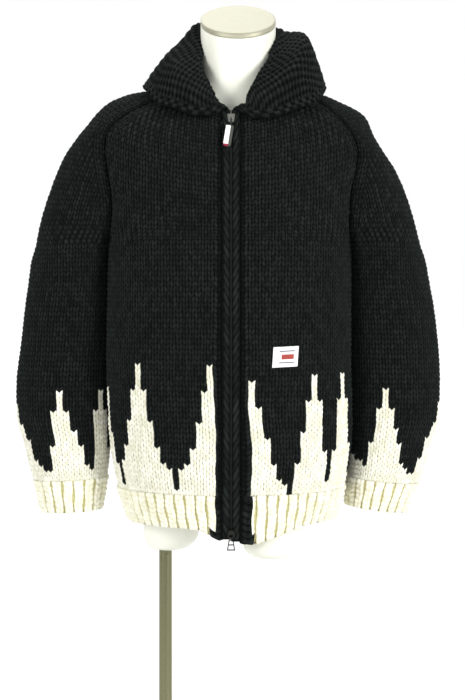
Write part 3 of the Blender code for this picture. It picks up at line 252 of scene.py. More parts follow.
def slab(face, back):
    """Points and quads of a thin closed piece: a front grid, a back grid turned round, and a rim."""
    index = np.arange(face[..., 0].size).reshape(face.shape[:2])
    loop = border(index)
    after = np.roll(loop, -1)
    rim = np.stack([after, loop, loop + index.size, after + index.size], -1)
    quads = grid_quads(index)
    points = np.concatenate([face.reshape(-1, 3), back.reshape(-1, 3)])
    return points, np.concatenate([quads, quads[:, [0, 3, 2, 1]] + index.size, rim])


def volume(points, triangles):
    """Signed volume: a sixth of the sum of corner products, positive when faces look outwards."""
    a, b, c = (points[triangles[:, k]] for k in range(3))
    return float(np.einsum("ij,ij->i", a, np.cross(b, c)).sum()) / 6.0


def halved(quads):
    """Each quad as two triangles."""
    return np.concatenate([quads[:, [0, 1, 2]], quads[:, [0, 2, 3]]])


def outward(points, quads):
    """The quads of a closed shape, turned so that its volume comes out positive."""
    return quads[:, ::-1] if volume(points, halved(quads)) < 0 else quads


def fill_mesh(name, points, quads, triangles, materials, uv=None, dye=None, depth=None):
    """A smooth mesh object from arrays.

    uv is a texture place and depth a relief height (0 to 1) for each point, and dye a material number
    for each face.
    """
    quads = np.asarray(quads, np.int64).reshape(-1, 4)
    triangles = np.asarray(triangles, np.int64).reshape(-1, 3)
    if volume(points, np.concatenate([halved(quads), triangles])) < 0:
        quads, triangles = quads[:, ::-1], triangles[:, ::-1]
    corners = np.concatenate([quads.ravel(), triangles.ravel()])
    used, corners = np.unique(corners, return_inverse=True)
    starts = np.concatenate([np.arange(len(quads)) * 4, 4 * len(quads) + np.arange(len(triangles)) * 3])
    mesh = bpy.data.meshes.new(name)
    mesh.vertices.add(len(used))
    mesh.vertices.foreach_set("co", np.ascontiguousarray(points[used], np.float32).ravel())
    mesh.loops.add(len(corners))
    mesh.loops.foreach_set("vertex_index", corners.astype(np.int32))
    mesh.polygons.add(len(starts))
    mesh.polygons.foreach_set("loop_start", starts.astype(np.int32))
    if dye is not None:
        mesh.polygons.foreach_set("material_index", np.asarray(dye, np.int32))
    mesh.update(calc_edges=True)
    mesh.shade_smooth()
    if uv is not None:
        layer = mesh.uv_layers.new(name="stitches")
        layer.data.foreach_set("uv", np.ascontiguousarray(uv[used][corners], np.float32).ravel())
    if depth is not None:
        relief = mesh.attributes.new("relief", "FLOAT", "POINT")
        relief.data.foreach_set("value", np.ascontiguousarray(depth[used], np.float32))
    for material in materials:
        mesh.materials.append(material)
    piece = bpy.data.objects.new(name, mesh)
    bpy.context.scene.collection.objects.link(piece)
    print(f"{name}: {2 * len(quads) + len(triangles)} triangles")
    return piece


unit_cube = np.array([(x, y, z) for z in (0, 1) for y in (0, 1) for x in (0, 1)], float)
cube_quads = np.array([(0, 2, 3, 1), (4, 5, 7, 6), (0, 1, 5, 4), (2, 6, 7, 3), (0, 4, 6, 2), (1, 3, 7, 5)])
print("volume of a unit cube:", round(volume(unit_cube, halved(cube_quads)), 6))

# %% [markdown]
# ## Yarn
# Thick wool shows three things close up: the plies that wind round the strand, a haze of short
# fibres, and a slightly uneven dye.  One node group makes all of these from the stitch places of the
# piece, and every yarn uses it with its own colours and its own sheen, which wool always has.

# %% Yarn node group


def group_socket(group, name, way, kind="NodeSocketFloat", value=None):
    """One named input or output of a node group."""
    made = group.interface.new_socket(name=name, in_out=way, socket_type=kind)
    if value is not None:
        made.default_value = value
    return made


def yarn_group():
    """The strand's height and tone, from the place in the stitches and the place on the object.

    Ply is a sine that winds across each half stitch, fibre fine noise, dye slow noise, and streak noise
    drawn out along the wales.  Lot is one number for each leg of a stitch, because no two legs take
    the light alike.  Height and tone are weighted sums of these.
    """
    group = bpy.data.node_groups.new("yarn_strand", "ShaderNodeTree")
    group_socket(group, "Stitch Place", "INPUT", "NodeSocketVector")
    group_socket(group, "Object Place", "INPUT", "NodeSocketVector")
    group_socket(group, "Plies", "INPUT", value=3.0)
    group_socket(group, "Twist", "INPUT", value=1.6)
    group_socket(group, "Height", "OUTPUT")
    group_socket(group, "Tone", "OUTPUT")
    add = nodes_of(group)
    come = add("NodeGroupInput")
    stitch, place = come.outputs["Stitch Place"], come.outputs["Object Place"]
    split = add("ShaderNodeSeparateXYZ", None, {0: stitch})
    across, along = split.outputs[0], split.outputs[1]
    leg = maths(add, "PINGPONG", across, 0.5)
    wound = maths(add, "MULTIPLY_ADD", leg, come.outputs["Twist"], along)
    turn = maths(add, "MULTIPLY", wound, come.outputs["Plies"])
    ply = maths(add, "SINE", maths(add, "MULTIPLY", turn, 2 * math.pi))
    fibre, dye = noise(add, place, 950.0, 3.0, 0.7), noise(add, place, 42.0, 2.0)
    by_leg, by_wale = (
        add("ShaderNodeVectorMath", {"operation": "MULTIPLY"}, {0: stitch, 1: factors}).outputs[0]
        for factors in ((2.0, 1.0, 0.0), (4.0, 0.6, 0.0)))
    leg_place = add("ShaderNodeVectorMath", {"operation": "FLOOR"}, {0: by_leg}).outputs[0]
    lot = add("ShaderNodeTexWhiteNoise", {"noise_dimensions": "2D"}, {"Vector": leg_place}).outputs["Value"]
    streak = noise(add, by_wale, 1.0, 2.0)
    height = maths(add, "MULTIPLY_ADD", ply, 0.22, maths(add, "MULTIPLY", fibre, 0.9))
    tone = maths(add, "MULTIPLY_ADD", ply, 0.10, maths(add, "MULTIPLY", fibre, 0.5))
    for part, weight in ((lot, 0.38), (streak, 0.5)):
        tone = maths(add, "MULTIPLY_ADD", part, weight, tone)
    tone = maths(add, "MULTIPLY_ADD", dye, 0.5, maths(add, "SUBTRACT", tone, 0.50), clamp=True)
    add("NodeGroupOutput", None, {"Height": height, "Tone": tone})
    return group


YARN_GROUP = yarn_group()
print("yarn group gives:", [item.name for item in YARN_GROUP.interface.items_tree if item.in_out == "OUTPUT"])

# %% [markdown]
# The black wool is nearly as dark as the shade that is painted into its grooves.  The cream wool lets
# light through, so that even the shade painted into its grooves stays warm and bright.  One function mixes
# either from the group above.

# %% The yarns
WOOL_ROUGHNESS = 0.92
WOOL_SPECULAR = 0.1
FIBRE_HEIGHT = 0.0012    # metres that the plies and fibres stand up at full strength


def yarn(name, groove_shade, dark, light, sheen, sheen_tint, fuzz, rise=(0.10, 0.70)):
    """Wool yarn: two tones on the strand, painted shade down in the grooves, rough, with sheen and a fine
    bump.

    rise gives the relief heights between which the painted shade of the grooves gives way to the open face of
    a strand.
    """
    material, shader, add = plain_material(name)
    place = add("ShaderNodeUVMap", {"uv_map": "stitches"}).outputs["UV"]
    where = add("ShaderNodeTexCoord").outputs["Object"]
    height = add("ShaderNodeAttribute", {"attribute_name": "relief"}).outputs["Fac"]
    strand = add("ShaderNodeGroup", {"node_tree": YARN_GROUP},
                 {"Stitch Place": place, "Object Place": where})
    tone = mixed(add, strand.outputs["Tone"], dark, light)
    # painted shade: where the relief is low, the colour of the grooves takes the place of the strand's tone
    colour = mixed(add, ramp(add, height, *rise), groove_shade, tone)
    dress(add, shader, {"Base Color": colour, "Roughness": WOOL_ROUGHNESS,
                        "Specular IOR Level": WOOL_SPECULAR, "Sheen Weight": sheen,
                        "Sheen Roughness": 0.45, "Sheen Tint": (*sheen_tint, 1.0)},
          strand.outputs["Height"], fuzz, FIBRE_HEIGHT)
    return material


# each yarn's first colour is the shade painted into its grooves; the other two are its strand's own tones
BLACK_YARN = yarn("black_wool", (0.0004, 0.0006, 0.0006), (0.0012, 0.0018, 0.0016), (0.0225, 0.0285, 0.0262),
                  0.05, (0.42, 0.56, 0.50), 0.9, rise=(0.20, 0.92))
CREAM_YARN = yarn("cream_wool", (0.06, 0.055, 0.018), (0.66, 0.64, 0.47), (1.0, 1.0, 0.93),
                  0.10, (1.0, 1.0, 0.92), 0.5, rise=(0.05, 0.38))
# the same wool where the ribs are stretched and their grooves let the light through, so less shade is painted
# into them
RIB_YARN = yarn("cream_rib_wool", (0.50, 0.46, 0.22), (0.76, 0.74, 0.54), (0.99, 0.98, 0.88),
                0.10, (1.0, 1.0, 0.92), 0.5, rise=(0.0, 0.50))
YARNS = [BLACK_YARN, CREAM_YARN]
print("yarns:", [m.name for m in (*YARNS, RIB_YARN)])

# %% [markdown]
# ## The garment's form
# The outline of body and sleeves is kept in short tables of half-widths and depths at each height.
# A smooth curve through a table's rows gives every section, so one function of two parameters
# (across and up) is the whole cloth.  The tables are those of the solids, so the looks fit them.

# %% Body tables
CLOTH = 0.005            # thickness of the chunky knit
CENTRE_X = -0.0015       # the zip's centre line
BAND_INNER = 0.0017      # band edges, measured from the centre line
BAND_OUTER = 0.0143
PANEL_EDGE = 0.0146
BAND_PROUD = 0.0012      # how far a band's edge stands in front of the front panel
BAND_TOP = 1.3285
HEM_TOP = 0.7112
HEM_BOTTOM = 0.6560
# side (-1 is the wearer's right): place across and height of the hem's lower edge
HEM_EDGE = {
    -1: ((0.0, 0.6380), (0.075, 0.6380), (0.142, 0.6480), (0.18, 0.6530), (0.26, 0.6550),
         (0.60, 0.6555), (1.0, 0.6560)),
    1: ((0.0, 0.6330), (0.060, 0.6318), (0.136, 0.6310), (0.185, 0.6345), (0.30, 0.6435), (0.40, 0.6512),
        (0.50, 0.6570), (0.70, 0.6590), (1.0, 0.6560)),
}
HEM_DRAW_IN = 0.0180     # how far the hem narrows at each side down to its edge
DROP_POWER = 1.6         # how the rows fall from the centre line to the side
# height, half-width on the wearer's right, half-width on the wearer's left (side seams, y = 0)
SIDE_ROWS = (
    (0.7115, 0.1925, 0.1905),
    (0.7350, 0.1975, 0.1955),
    (0.7650, 0.2035, 0.2005),
    (0.8000, 0.2075, 0.2030),
    (0.8500, 0.2105, 0.2030),
    (0.9200, 0.2125, 0.2015),
    (1.0000, 0.2115, 0.2015),
    (1.0600, 0.2105, 0.2025),
    (1.0900, 0.2100, 0.2025),
)
# raglan seam from underarm to neckline; columns: seam half-width, seam half-depth, seam height,
# outer sleeve line half-width, outer sleeve line height, half angle of the sleeve section in degrees
RAGLAN_RIGHT = (
    (0.2090, 0.0000, 1.1200, 0.3335, 1.1140, 180),
    (0.2025, 0.0420, 1.1480, 0.3260, 1.1480, 142),
    (0.1985, 0.0580, 1.1760, 0.3165, 1.1810, 126),
    (0.2000, 0.0680, 1.2060, 0.3030, 1.2200, 115),
    (0.2060, 0.0730, 1.2440, 0.2860, 1.2600, 105),
    (0.2085, 0.0740, 1.2780, 0.2680, 1.2880, 97),
    (0.2030, 0.0730, 1.3040, 0.2470, 1.3150, 88),
    (0.1800, 0.0690, 1.3280, 0.2120, 1.3540, 78),
    (0.1450, 0.0610, 1.3470, 0.1700, 1.3720, 72),
    (0.1110, 0.0530, 1.3610, 0.1260, 1.3790, 68),
    (0.0790, 0.0470, 1.3730, 0.0860, 1.3880, 66),
)
RAGLAN_LEFT = (
    (0.2020, 0.0000, 1.1200, 0.3200, 1.1160, 180),
    (0.1960, 0.0420, 1.1480, 0.3110, 1.1480, 142),
    (0.1945, 0.0580, 1.1760, 0.3015, 1.1800, 126),
    (0.1970, 0.0680, 1.2060, 0.2900, 1.2120, 115),
    (0.2035, 0.0730, 1.2400, 0.2750, 1.2440, 105),
    (0.2070, 0.0740, 1.2700, 0.2580, 1.2690, 97),
    (0.1990, 0.0730, 1.2960, 0.2400, 1.2980, 88),
    (0.1780, 0.0690, 1.3240, 0.2215, 1.3360, 78),
    (0.1520, 0.0610, 1.3480, 0.1760, 1.3600, 72),
    (0.1250, 0.0530, 1.3620, 0.1400, 1.3760, 68),
    (0.0990, 0.0470, 1.3740, 0.1070, 1.3890, 66),
)
# heights of centre front and centre back at each raglan row, half angle of the front's section
RAGLAN_CENTRES = (
    (1.1200, 1.1200, 90), (1.1370, 1.1450, 82), (1.1550, 1.1700, 74), (1.1760, 1.1980, 67),
    (1.2000, 1.2290, 61), (1.2270, 1.2610, 57), (1.2520, 1.2920, 55), (1.2750, 1.3220, 54),
    (1.2960, 1.3510, 53), (1.3140, 1.3780, 53), (1.3300, 1.4040, 53),
)
# height, y of the front's centre line
FRONT_PROFILE = (
    (0.6300, -0.1085), (0.6520, -0.1110), (0.7112, -0.1235), (0.7600, -0.1290), (0.8400, -0.1310),
    (0.9400, -0.1310), (1.0400, -0.1315), (1.1200, -0.1340), (1.1900, -0.1360), (1.2400, -0.1325),
    (1.2800, -0.1220), (1.3100, -0.1100), (1.3400, -0.0960),
)
# height, y of the back's centre line
BACK_PROFILE = (
    (0.6520, 0.1040), (0.7112, 0.1150), (0.7600, 0.1190), (0.8600, 0.1210), (1.0000, 0.1180),
    (1.1200, 0.1240), (1.2000, 0.1290), (1.2800, 0.1260), (1.3300, 0.1150), (1.3700, 0.0990),
    (1.4060, 0.0800),
)
# soft folds; columns: piece, place across (0-1), height, spread across, spread in height,
# how far the fold climbs per unit across, depth (a trough is negative)
FOLDS = (
    ("sleeve", 0.30, 0.800, 0.16, 0.020, 0.10, -0.0050),
    ("sleeve", 0.42, 0.765, 0.20, 0.016, -0.08, -0.0055),
    ("sleeve", 0.62, 0.790, 0.16, 0.018, 0.12, -0.0045),
    ("sleeve", 0.25, 0.960, 0.12, 0.030, 0.20, -0.0040),
    ("sleeve", 0.36, 1.085, 0.10, 0.050, 0.30, -0.0060),
    ("sleeve", 0.66, 1.060, 0.12, 0.050, -0.25, -0.0050),
    ("front", 0.86, 1.060, 0.10, 0.070, 0.12, -0.0035),
    ("front", 0.45, 0.800, 0.20, 0.030, 0.10, -0.0030),
    ("back", 0.30, 0.880, 0.16, 0.060, 0.10, -0.0050),
    ("back", 0.68, 0.800, 0.14, 0.040, -0.10, -0.0045),
    ("back", 0.50, 1.230, 0.30, 0.050, 0.00, -0.0040),
)
BELOW = len(SIDE_ROWS)                 # row number of the underarm
ROWS = BELOW + len(RAGLAN_RIGHT) - 1   # row number of the neckline
print("underarm at row", BELOW, "neckline at row", ROWS)

# %% [markdown]
# ## The body's surface
# A worn body is nearly an oval at each height.  Each half of a section is a quarter of that oval,
# from the centre line to the side, so a sine and a cosine of one angle draw it.  Soft folds are
# shallow bells that are taken off the surface, because cloth over a form never lies quite flat.

# %% Body surface


def edge_rows(side):
    """Body edge points per row: half-width, half-depth, height; then centre heights and angle."""
    raglan = RAGLAN_RIGHT if side < 0 else RAGLAN_LEFT
    column = 1 if side < 0 else 2
    low = [(r[column], 0.0, r[0], r[0], r[0], 90.0) for r in SIDE_ROWS]
    high = [(e[0], e[1], e[2], *c) for e, c in zip(raglan, RAGLAN_CENTRES)]
    return np.array(low + high)


EDGES = {side: edge_rows(side) for side in (-1, 1)}


def fold_depth(piece, across, height):
    """Sum of the soft folds of a piece at a place across and a height: each is a bell in both directions."""
    total = np.zeros(np.shape(height))
    for kind, place, level, wide, tall, climb, depth in FOLDS:
        if kind != piece:
            continue
        rise = height - level - climb * (across - place) * wide
        total = total + depth * np.exp(-((across - place) / wide) ** 2 - (rise / tall) ** 2)
    return total


def body_point(side, facing, across, row):
    """The body's outer surface; across runs from the centre line (0) to the side (1).

    x goes by the sine and y by the cosine of an angle that grows with across, and z falls from the
    centre line to the side by a power of across.  Folds move the point along the outward direction.
    """
    across, row = np.broadcast_arrays(np.asarray(across, float), np.asarray(row, float))
    edge = spline(EDGES[side], row.ravel()).reshape(row.shape + (6,))
    edge[..., 1] = np.maximum(edge[..., 1], 0.0)
    half_width, half_depth, high = edge[..., 0], edge[..., 1], edge[..., 2]
    centre_high = edge[..., 3] if facing < 0 else edge[..., 4]
    angle = np.radians(edge[..., 5])
    centre_y = profile(FRONT_PROFILE if facing < 0 else BACK_PROFILE, centre_high)
    turn = across * angle
    x = CENTRE_X + (side * half_width - CENTRE_X) * np.sin(turn) / np.sin(angle)
    y = centre_y + (facing * half_depth - centre_y) * (1 - np.cos(turn)) / (1 - np.cos(angle))
    z = centre_high + (high - centre_high) * np.abs(across) ** DROP_POWER
    base = np.stack([x, y, z], -1)
    if facing < 0:
        dent = fold_depth("front", across, z)
    else:
        dent = fold_depth("back", 0.5 + 0.5 * side * across, z)
    dent = dent * np.clip(6.0 * (1.0 - np.abs(across)), 0.0, 1.0)
    out = unit(np.stack([np.sin(turn) * side * 0.5, facing * np.cos(turn) + 0 * x, 0 * x], -1))
    return base + out * dent[..., None]


def band_across(side, row, offset=PANEL_EDGE):
    """The place across at which a front lies the given distance from the centre line."""
    edge = spline(EDGES[side], row)
    angle = np.radians(edge[:, 5])
    span = np.abs(side * edge[:, 0] - CENTRE_X)
    return np.arcsin(np.sin(angle) * offset / span) / angle


chest = np.abs(body_point(-1, -1, 1.0, BELOW)[0]) + np.abs(body_point(1, -1, 1.0, BELOW)[0])
print("width at the underarm", round(float(chest), 3), "m")

# %% [markdown]
# ## The sleeves' surface
# A sleeve on a limbless form hangs by itself.  Below the underarm its section is an oval between
# an inner and an outer line, and above it the section opens toward the body until only the raglan's
# narrow head is left at the neck.  The same two parameters serve it: round the section, and up.

# %% Sleeve surface
# sleeve below the underarm; columns: height of the inner line, its half-width, height of the outer
# line, its half-width, y of the section's centre, half-depth
SLEEVE_RIGHT = (
    (0.7239, 0.2150, 0.7180, 0.3380, 0.0220, 0.0490),
    (0.7450, 0.2120, 0.7405, 0.3470, 0.0250, 0.0530),
    (0.7750, 0.2095, 0.7715, 0.3585, 0.0280, 0.0570),
    (0.8250, 0.2090, 0.8230, 0.3680, 0.0300, 0.0600),
    (0.8850, 0.2095, 0.8850, 0.3690, 0.0300, 0.0610),
    (0.9450, 0.2095, 0.9450, 0.3615, 0.0280, 0.0620),
    (1.0050, 0.2090, 1.0050, 0.3545, 0.0240, 0.0640),
    (1.0600, 0.2090, 1.0580, 0.3475, 0.0190, 0.0660),
    (1.0950, 0.2105, 1.0910, 0.3420, 0.0120, 0.0690),
)
SLEEVE_LEFT = (
    (0.7239, 0.1985, 0.7130, 0.3180, 0.0220, 0.0490),
    (0.7450, 0.2000, 0.7370, 0.3285, 0.0250, 0.0530),
    (0.7750, 0.2015, 0.7695, 0.3415, 0.0280, 0.0570),
    (0.8250, 0.2015, 0.8220, 0.3530, 0.0300, 0.0600),
    (0.8850, 0.2005, 0.8850, 0.3560, 0.0300, 0.0610),
    (0.9450, 0.2000, 0.9450, 0.3530, 0.0280, 0.0620),
    (1.0050, 0.2000, 1.0050, 0.3460, 0.0240, 0.0640),
    (1.0600, 0.2015, 1.0580, 0.3370, 0.0190, 0.0660),
    (1.0950, 0.2035, 1.0910, 0.3300, 0.0120, 0.0690),
)
# the cuff's lower mouth: the same columns
CUFF_MOUTH = {
    -1: (0.6690, 0.2230, 0.6640, 0.3245, 0.0180, 0.0410),
    1: (0.6760, 0.1945, 0.6630, 0.2975, 0.0180, 0.0410),
}
UNDERARM_DEPTH = 0.0720
# how far the outer line of the sleeve is set back at each raglan row
RAGLAN_SET_BACK = (0.0080, 0.0060, 0.0040, 0.0020, 0.0010, 0.0, 0.0, 0.0, 0.0, 0.0, 0.0)


def sleeve_rows(side):
    """Sleeve section rows: inner line x z, outer line x z, centre y, half-depth, half angle."""
    raglan = RAGLAN_RIGHT if side < 0 else RAGLAN_LEFT
    lower = SLEEVE_RIGHT if side < 0 else SLEEVE_LEFT
    rows = [(r[1], r[0], r[3], r[2], r[4], r[5], 180.0, 0.0) for r in lower]
    for (half_width, half_depth, high, out_x, out_z, beta), back in zip(raglan, RAGLAN_SET_BACK):
        depth = UNDERARM_DEPTH if beta == 180 else half_depth / math.sin(math.radians(beta))
        rows.append((half_width, high, out_x, out_z, 0.0, depth, float(beta), back))
    return np.array(rows)


SLEEVES = {side: sleeve_rows(side) for side in (-1, 1)}


def sleeve_point(side, across, row):
    """The sleeve's outer surface; across runs from the back seam (0) to the front seam (1).

    An angle runs from minus to plus the half angle of the section.  Its cosine carries the point from
    the inner line to the outer one, and its sine from the front to the back.
    """
    across, row = np.broadcast_arrays(np.asarray(across, float), np.asarray(row, float))
    data = spline(SLEEVES[side], row.ravel()).reshape(row.shape + (8,))
    beta = np.radians(np.minimum(data[..., 6], 180.0))
    turn = (2 * across - 1) * beta
    reach = (np.cos(turn) - np.cos(beta)) / (1 - np.cos(beta))
    x = side * (data[..., 0] + (data[..., 2] - data[..., 0]) * reach)
    z = data[..., 1] + (data[..., 3] - data[..., 1]) * reach
    y = data[..., 4] + data[..., 7] * reach - data[..., 5] * np.sin(turn)
    base = np.stack([x, y, z], -1)
    dent = fold_depth("sleeve", across, z) * np.clip(8.0 * np.minimum(across, 1 - across), 0.0, 1.0)
    out = unit(np.stack([side * np.cos(turn), -np.sin(turn), 0 * x], -1))
    return base + out * dent[..., None]


print("sleeve rows", len(SLEEVES[-1]))

# %% [markdown]
# ## Stitches on the cloth
# Knitting is a grid: columns of stitches, called wales, and rows.  Each cloth is first measured into
# a table of points at whole rows and even shares of the width, with its outward normals.  Any
# stitch place (wale, row) is then read from the table.  Above the underarm the raglan cuts the
# wales off, and two wales run along the seam, as a knitter's decreases make them do.

# %% Measuring a cloth
ROW_HEIGHT = 0.0084      # one knitted row
SHARES = 97              # table columns
STRIP = 2                # wales that run along a shaped edge


def turned_out(points, inside):
    """Outward normals of a grid: the cross product of its two directions, away from what is inside."""
    normals = unit(np.cross(np.gradient(points, axis=1), np.gradient(points, axis=0)))
    return normals * np.sign(np.einsum("ijk,ijk->", normals, points - inside))


def cloth_table(shape, last_row, centre, wales, underarm, middle, row_height=ROW_HEIGHT):
    """Table of a cloth: shape(share, row) read at whole knitted rows and even shares of each row's length.

    centre is the share where wale 0 begins, wales the count to each side of it, underarm the row up to
    which the count stays the same, and middle a point inside the cloth.
    """
    fine = np.linspace(0, last_row, 12 * last_row + 1)
    up = arc(shape(np.full(fine.shape, 0.5 + 0.5 * centre), fine), 0)
    rows = int(round(up[-1] / row_height))
    level = np.arange(rows + 1.0)
    row = np.interp(level, up * rows / up[-1], fine)
    share = np.linspace(0, 1, 241)
    length = arc(shape(*np.meshgrid(share, row)), 1)
    even = np.linspace(0, 1, SHARES)
    places = np.array([np.interp(even * each[-1], each, share) for each in length])
    points = shape(places, row[:, None] + 0 * places)
    left = np.array([np.interp(centre, share, each) for each in length])
    right = length[:, -1] - left
    gauge = float(np.interp(underarm, row, length[:, -1])) / sum(wales)
    tall = row > underarm
    bounds = []
    for each, count in ((left, wales[0]), (right, wales[1])):
        own = max(float(np.interp(underarm, row, each)) / max(count, 1), 1e-9)    # gauge of this side
        bounds.append(np.where(tall, np.minimum(each / own, count), count))
    print(f"  {rows} rows, wale {gauge * 1000:.1f} mm, width {length[0, -1]:.3f} to {length[-1, -1]:.3f} m")
    tall_at = arc(points, 0)[-1]
    return {"points": points, "normals": turned_out(points, middle), "rows": rows, "low": -bounds[0],
            "high": bounds[1], "left": left, "width": length[:, -1],
            "area": float(length[:, -1].mean() * tall_at.mean()),
            "flat": (float(length[:, -1].max()), float(tall_at.max()))}


print("a table has", SHARES, "columns and one line for each", ROW_HEIGHT * 1000, "mm row")

# %% [markdown]
# A place between the table's entries is read by straight steps, which is exact enough, because the
# entries lie closer together than the stitches.

# %% Reading a cloth


def read_table(table, share, level):
    """Points and normals at a share of the width and a row, by linear steps between table places."""
    level = np.clip(level, 0, table["rows"])
    line = np.minimum(level.astype(int), table["rows"] - 1)
    place = np.clip(share, 0, 1) * (SHARES - 1)
    column = np.minimum(place.astype(int), SHARES - 2)
    up, along = (level - line)[..., None], (place - column)[..., None]
    found = []
    for grid in (table["points"], table["normals"]):
        lower = grid[line, column] * (1 - along) + grid[line, column + 1] * along
        upper = grid[line + 1, column] * (1 - along) + grid[line + 1, column + 1] * along
        found.append(lower * (1 - up) + upper * up)
    return found[0], unit(found[1])


def at_level(table, key, level):
    """A table column read at fractional rows."""
    return np.interp(level, np.arange(table["rows"] + 1), table[key])


def share_of(table, wale, level):
    """Share of the width at a wale counted from the cloth's centre."""
    low, high = at_level(table, "low", level), at_level(table, "high", level)
    left, width = at_level(table, "left", level), at_level(table, "width", level)
    below = np.where(wale < 0, wale / np.where(low < 0, -low, 1.0), 0.0)
    above = np.where(wale > 0, wale / high, 0.0)
    return (left * (1 + below) + (width - left) * above) / width


print("a place on a cloth is read from its share of the width and its row")

# %% [markdown]
# ## Stitches
# One stitch of plain knitting is a V of two swollen legs, a rib is a wide swell between two deep
# grooves, and moss stitch is a chequer of beads.  Each is a height over the cloth as a function of
# wale and row, so the real relief is in the mesh and catches the light at every turn of the cloth.

# %% Stitches
# place in a wale and height there: two legs of a stitch with a dip between them
FINE_WALE = ((0.0, 0.10, 0.25, 0.40, 0.50, 0.60, 0.75, 0.90), (0.20, 0.80, 1.0, 0.80, 0.26, 0.80, 1.0, 0.80))
PLAIN_WALE = ((0.0, 0.14, 0.36, 0.5, 0.64, 0.86), (0.20, 0.90, 0.90, 0.28, 0.90, 0.90))
RIB_WALE = ((0.0, 0.07, 0.13, 0.26, 0.40, 0.50, 0.60, 0.74, 0.87, 0.93),
            (0.0, 0.12, 0.70, 1.0, 0.88, 0.60, 0.88, 1.0, 0.70, 0.12))
ROW_SWELL = (0.0, 0.80, 1.0, 0.80)
STITCH_RELIEF = 0.0034
STITCH_SUNK = 0.0012     # the grooves lie this far under the cloth's mean surface
ROW_BASE = 0.42          # part of the relief that runs on between two stitches
SLANT = 0.55             # rows by which a leg rises from the middle of its wale to the edge
BEAD_EDGE = 1.7          # how steeply a moss bead falls off


def uneven(wale, row, seed):
    """A repeatable number from 0 to 1 for each stitch: the fraction of a large sine."""
    raw = np.sin(wale * 12.9898 + row * 78.233 + seed * 37.719) * 43758.5453
    return raw - np.floor(raw)


def stockinette(template):
    """Relief and slant of plain knitting: each stitch is a V of two swollen legs."""
    def relief(wale, level, slack):
        """Height across the wale times a swell along the row; slack fades the swell at a cloth's ends."""
        part = wale - np.floor(wale)
        across = np.interp(part, template[0] + (1.0,), template[1] + template[1][:1])
        along = np.interp(level - np.floor(level), (0, 0.25, 0.5, 0.75, 1), ROW_SWELL + (0.0,))
        along = 1 - (1 - along) * slack
        swell = 0.84 + 0.32 * uneven(np.floor(2 * wale), np.floor(level), 1)
        lift = across * (ROW_BASE + (1 - ROW_BASE) * along) * swell
        slant = SLANT * (np.abs(2 * part - 1) - 0.5)
        return lift, slant
    return relief


def moss(wale, level, slack):
    """Relief of moss stitch: beads on every other place of a chequer, by a product of two sines."""
    wave = np.sin(math.pi * wale) * np.sin(math.pi * level)
    swell = 0.85 + 0.3 * uneven(np.floor(wale), np.floor(level), 2)
    return (0.5 + 0.5 * np.tanh(BEAD_EDGE * wave) / math.tanh(BEAD_EDGE)) * swell, 0.0 * wale


for title, height in (("plain", stockinette(PLAIN_WALE)), ("rib", stockinette(RIB_WALE)), ("moss", moss)):
    lift = height(*np.meshgrid(np.arange(0.0, 4.0, 0.1), np.arange(0.0, 4.0, 0.1)), 1.0)[0]
    print(title, "stitch: relief from", round(float(lift.min()), 2), "to", round(float(lift.max()), 2))

# %% [markdown]
# ## Knitting a piece
# A piece is a closed wall: a fine outer grid with several points for each stitch, a coarse inner one,
# and a rim of triangles between their borders.  At a raglan the grid's outer columns fall together
# where wales are cut off, as stitches do that are knitted together.  A chart dyes each face.

# %% Wales at a shaped edge


def fit_wales(table, wales, places, level):
    """Where each column of a fine grid lies at each level, and the numbers of its points.

    STRIP wales keep to the seam, and the columns cut off beside them take the point of one column.
    """
    left, right = wales
    per = len(places)
    nominal = np.append((np.arange(-left, right)[:, None] + places).ravel(), right)
    low, high = at_level(table, "low", level)[:, None], at_level(table, "high", level)[:, None]
    wale_at = np.broadcast_to(nominal, (len(level), len(nominal)))
    wale = np.clip(wale_at, low + STRIP * (left > 0), high - STRIP)
    wale = np.where(wale_at > right - STRIP, high - (right - wale_at), wale)
    index = np.arange(wale_at.size).reshape(wale_at.shape)
    last = (left + right - STRIP) * per
    index = np.where((wale_at > high - STRIP) & (wale_at < right - STRIP), index[:, [last]], index)
    if left:
        wale = np.where(wale_at < STRIP - left, low + (wale_at + left), wale)
        index = np.where((wale_at < low + STRIP) & (wale_at > STRIP - left), index[:, [STRIP * per]], index)
    wale = np.clip(wale, low, high)
    return wale_at, wale, (wale - low, high - wale), index


def ring_of(grid, shares, levels):
    """Point numbers round a grid's border and their places: bottom 0-1, right 1-2, top 2-3, left 3-4."""
    ids = np.append(border(grid), grid[0, 0])
    at = np.concatenate([shares[0, :-1], 1 + levels[:-1], 3 - shares[-1, :0:-1], 4 - levels[:0:-1], [4.0]])
    return ids, at


def bridge(a, a_at, b, b_at):
    """Triangles between two borders: each step along one meets the other's point reached by then."""
    k = np.searchsorted(b_at[1:], a_at[1:], "left")
    m = np.searchsorted(a_at[1:], b_at[1:], "right")
    faces = np.concatenate([np.stack([a[1:], a[:-1], b[k]], 1), np.stack([b[:-1], b[1:], a[m]], 1)])
    same = (faces[:, 0] == faces[:, 1]) | (faces[:, 1] == faces[:, 2]) | (faces[:, 0] == faces[:, 2])
    return faces[~same]


print("wales that keep to a raglan seam:", STRIP)

# %% [markdown]
# The relief moves each point along the cloth's normal, so a stitch is equally thick on every slope.
# Relief in the shader alone would leave the cloth's outline smooth.

# %% Knitting a piece
PER_ROW = 4              # grid lines for each knitted row
EDGE_ROLL = 0.38         # wales or rows over which an edge rolls inwards
END_ROWS = 0.7           # rows over which the stitches' swell and slant fade at a cloth's ends
WALE_SWAY = 0.05         # wales by which the columns waver, over SWAY_TURN radians for each row
SWAY_TURN = 1.3


def pair(first, second):
    """Two grids as rows of two numbers."""
    return np.stack(np.broadcast_arrays(first, second), -1).reshape(-1, 2)


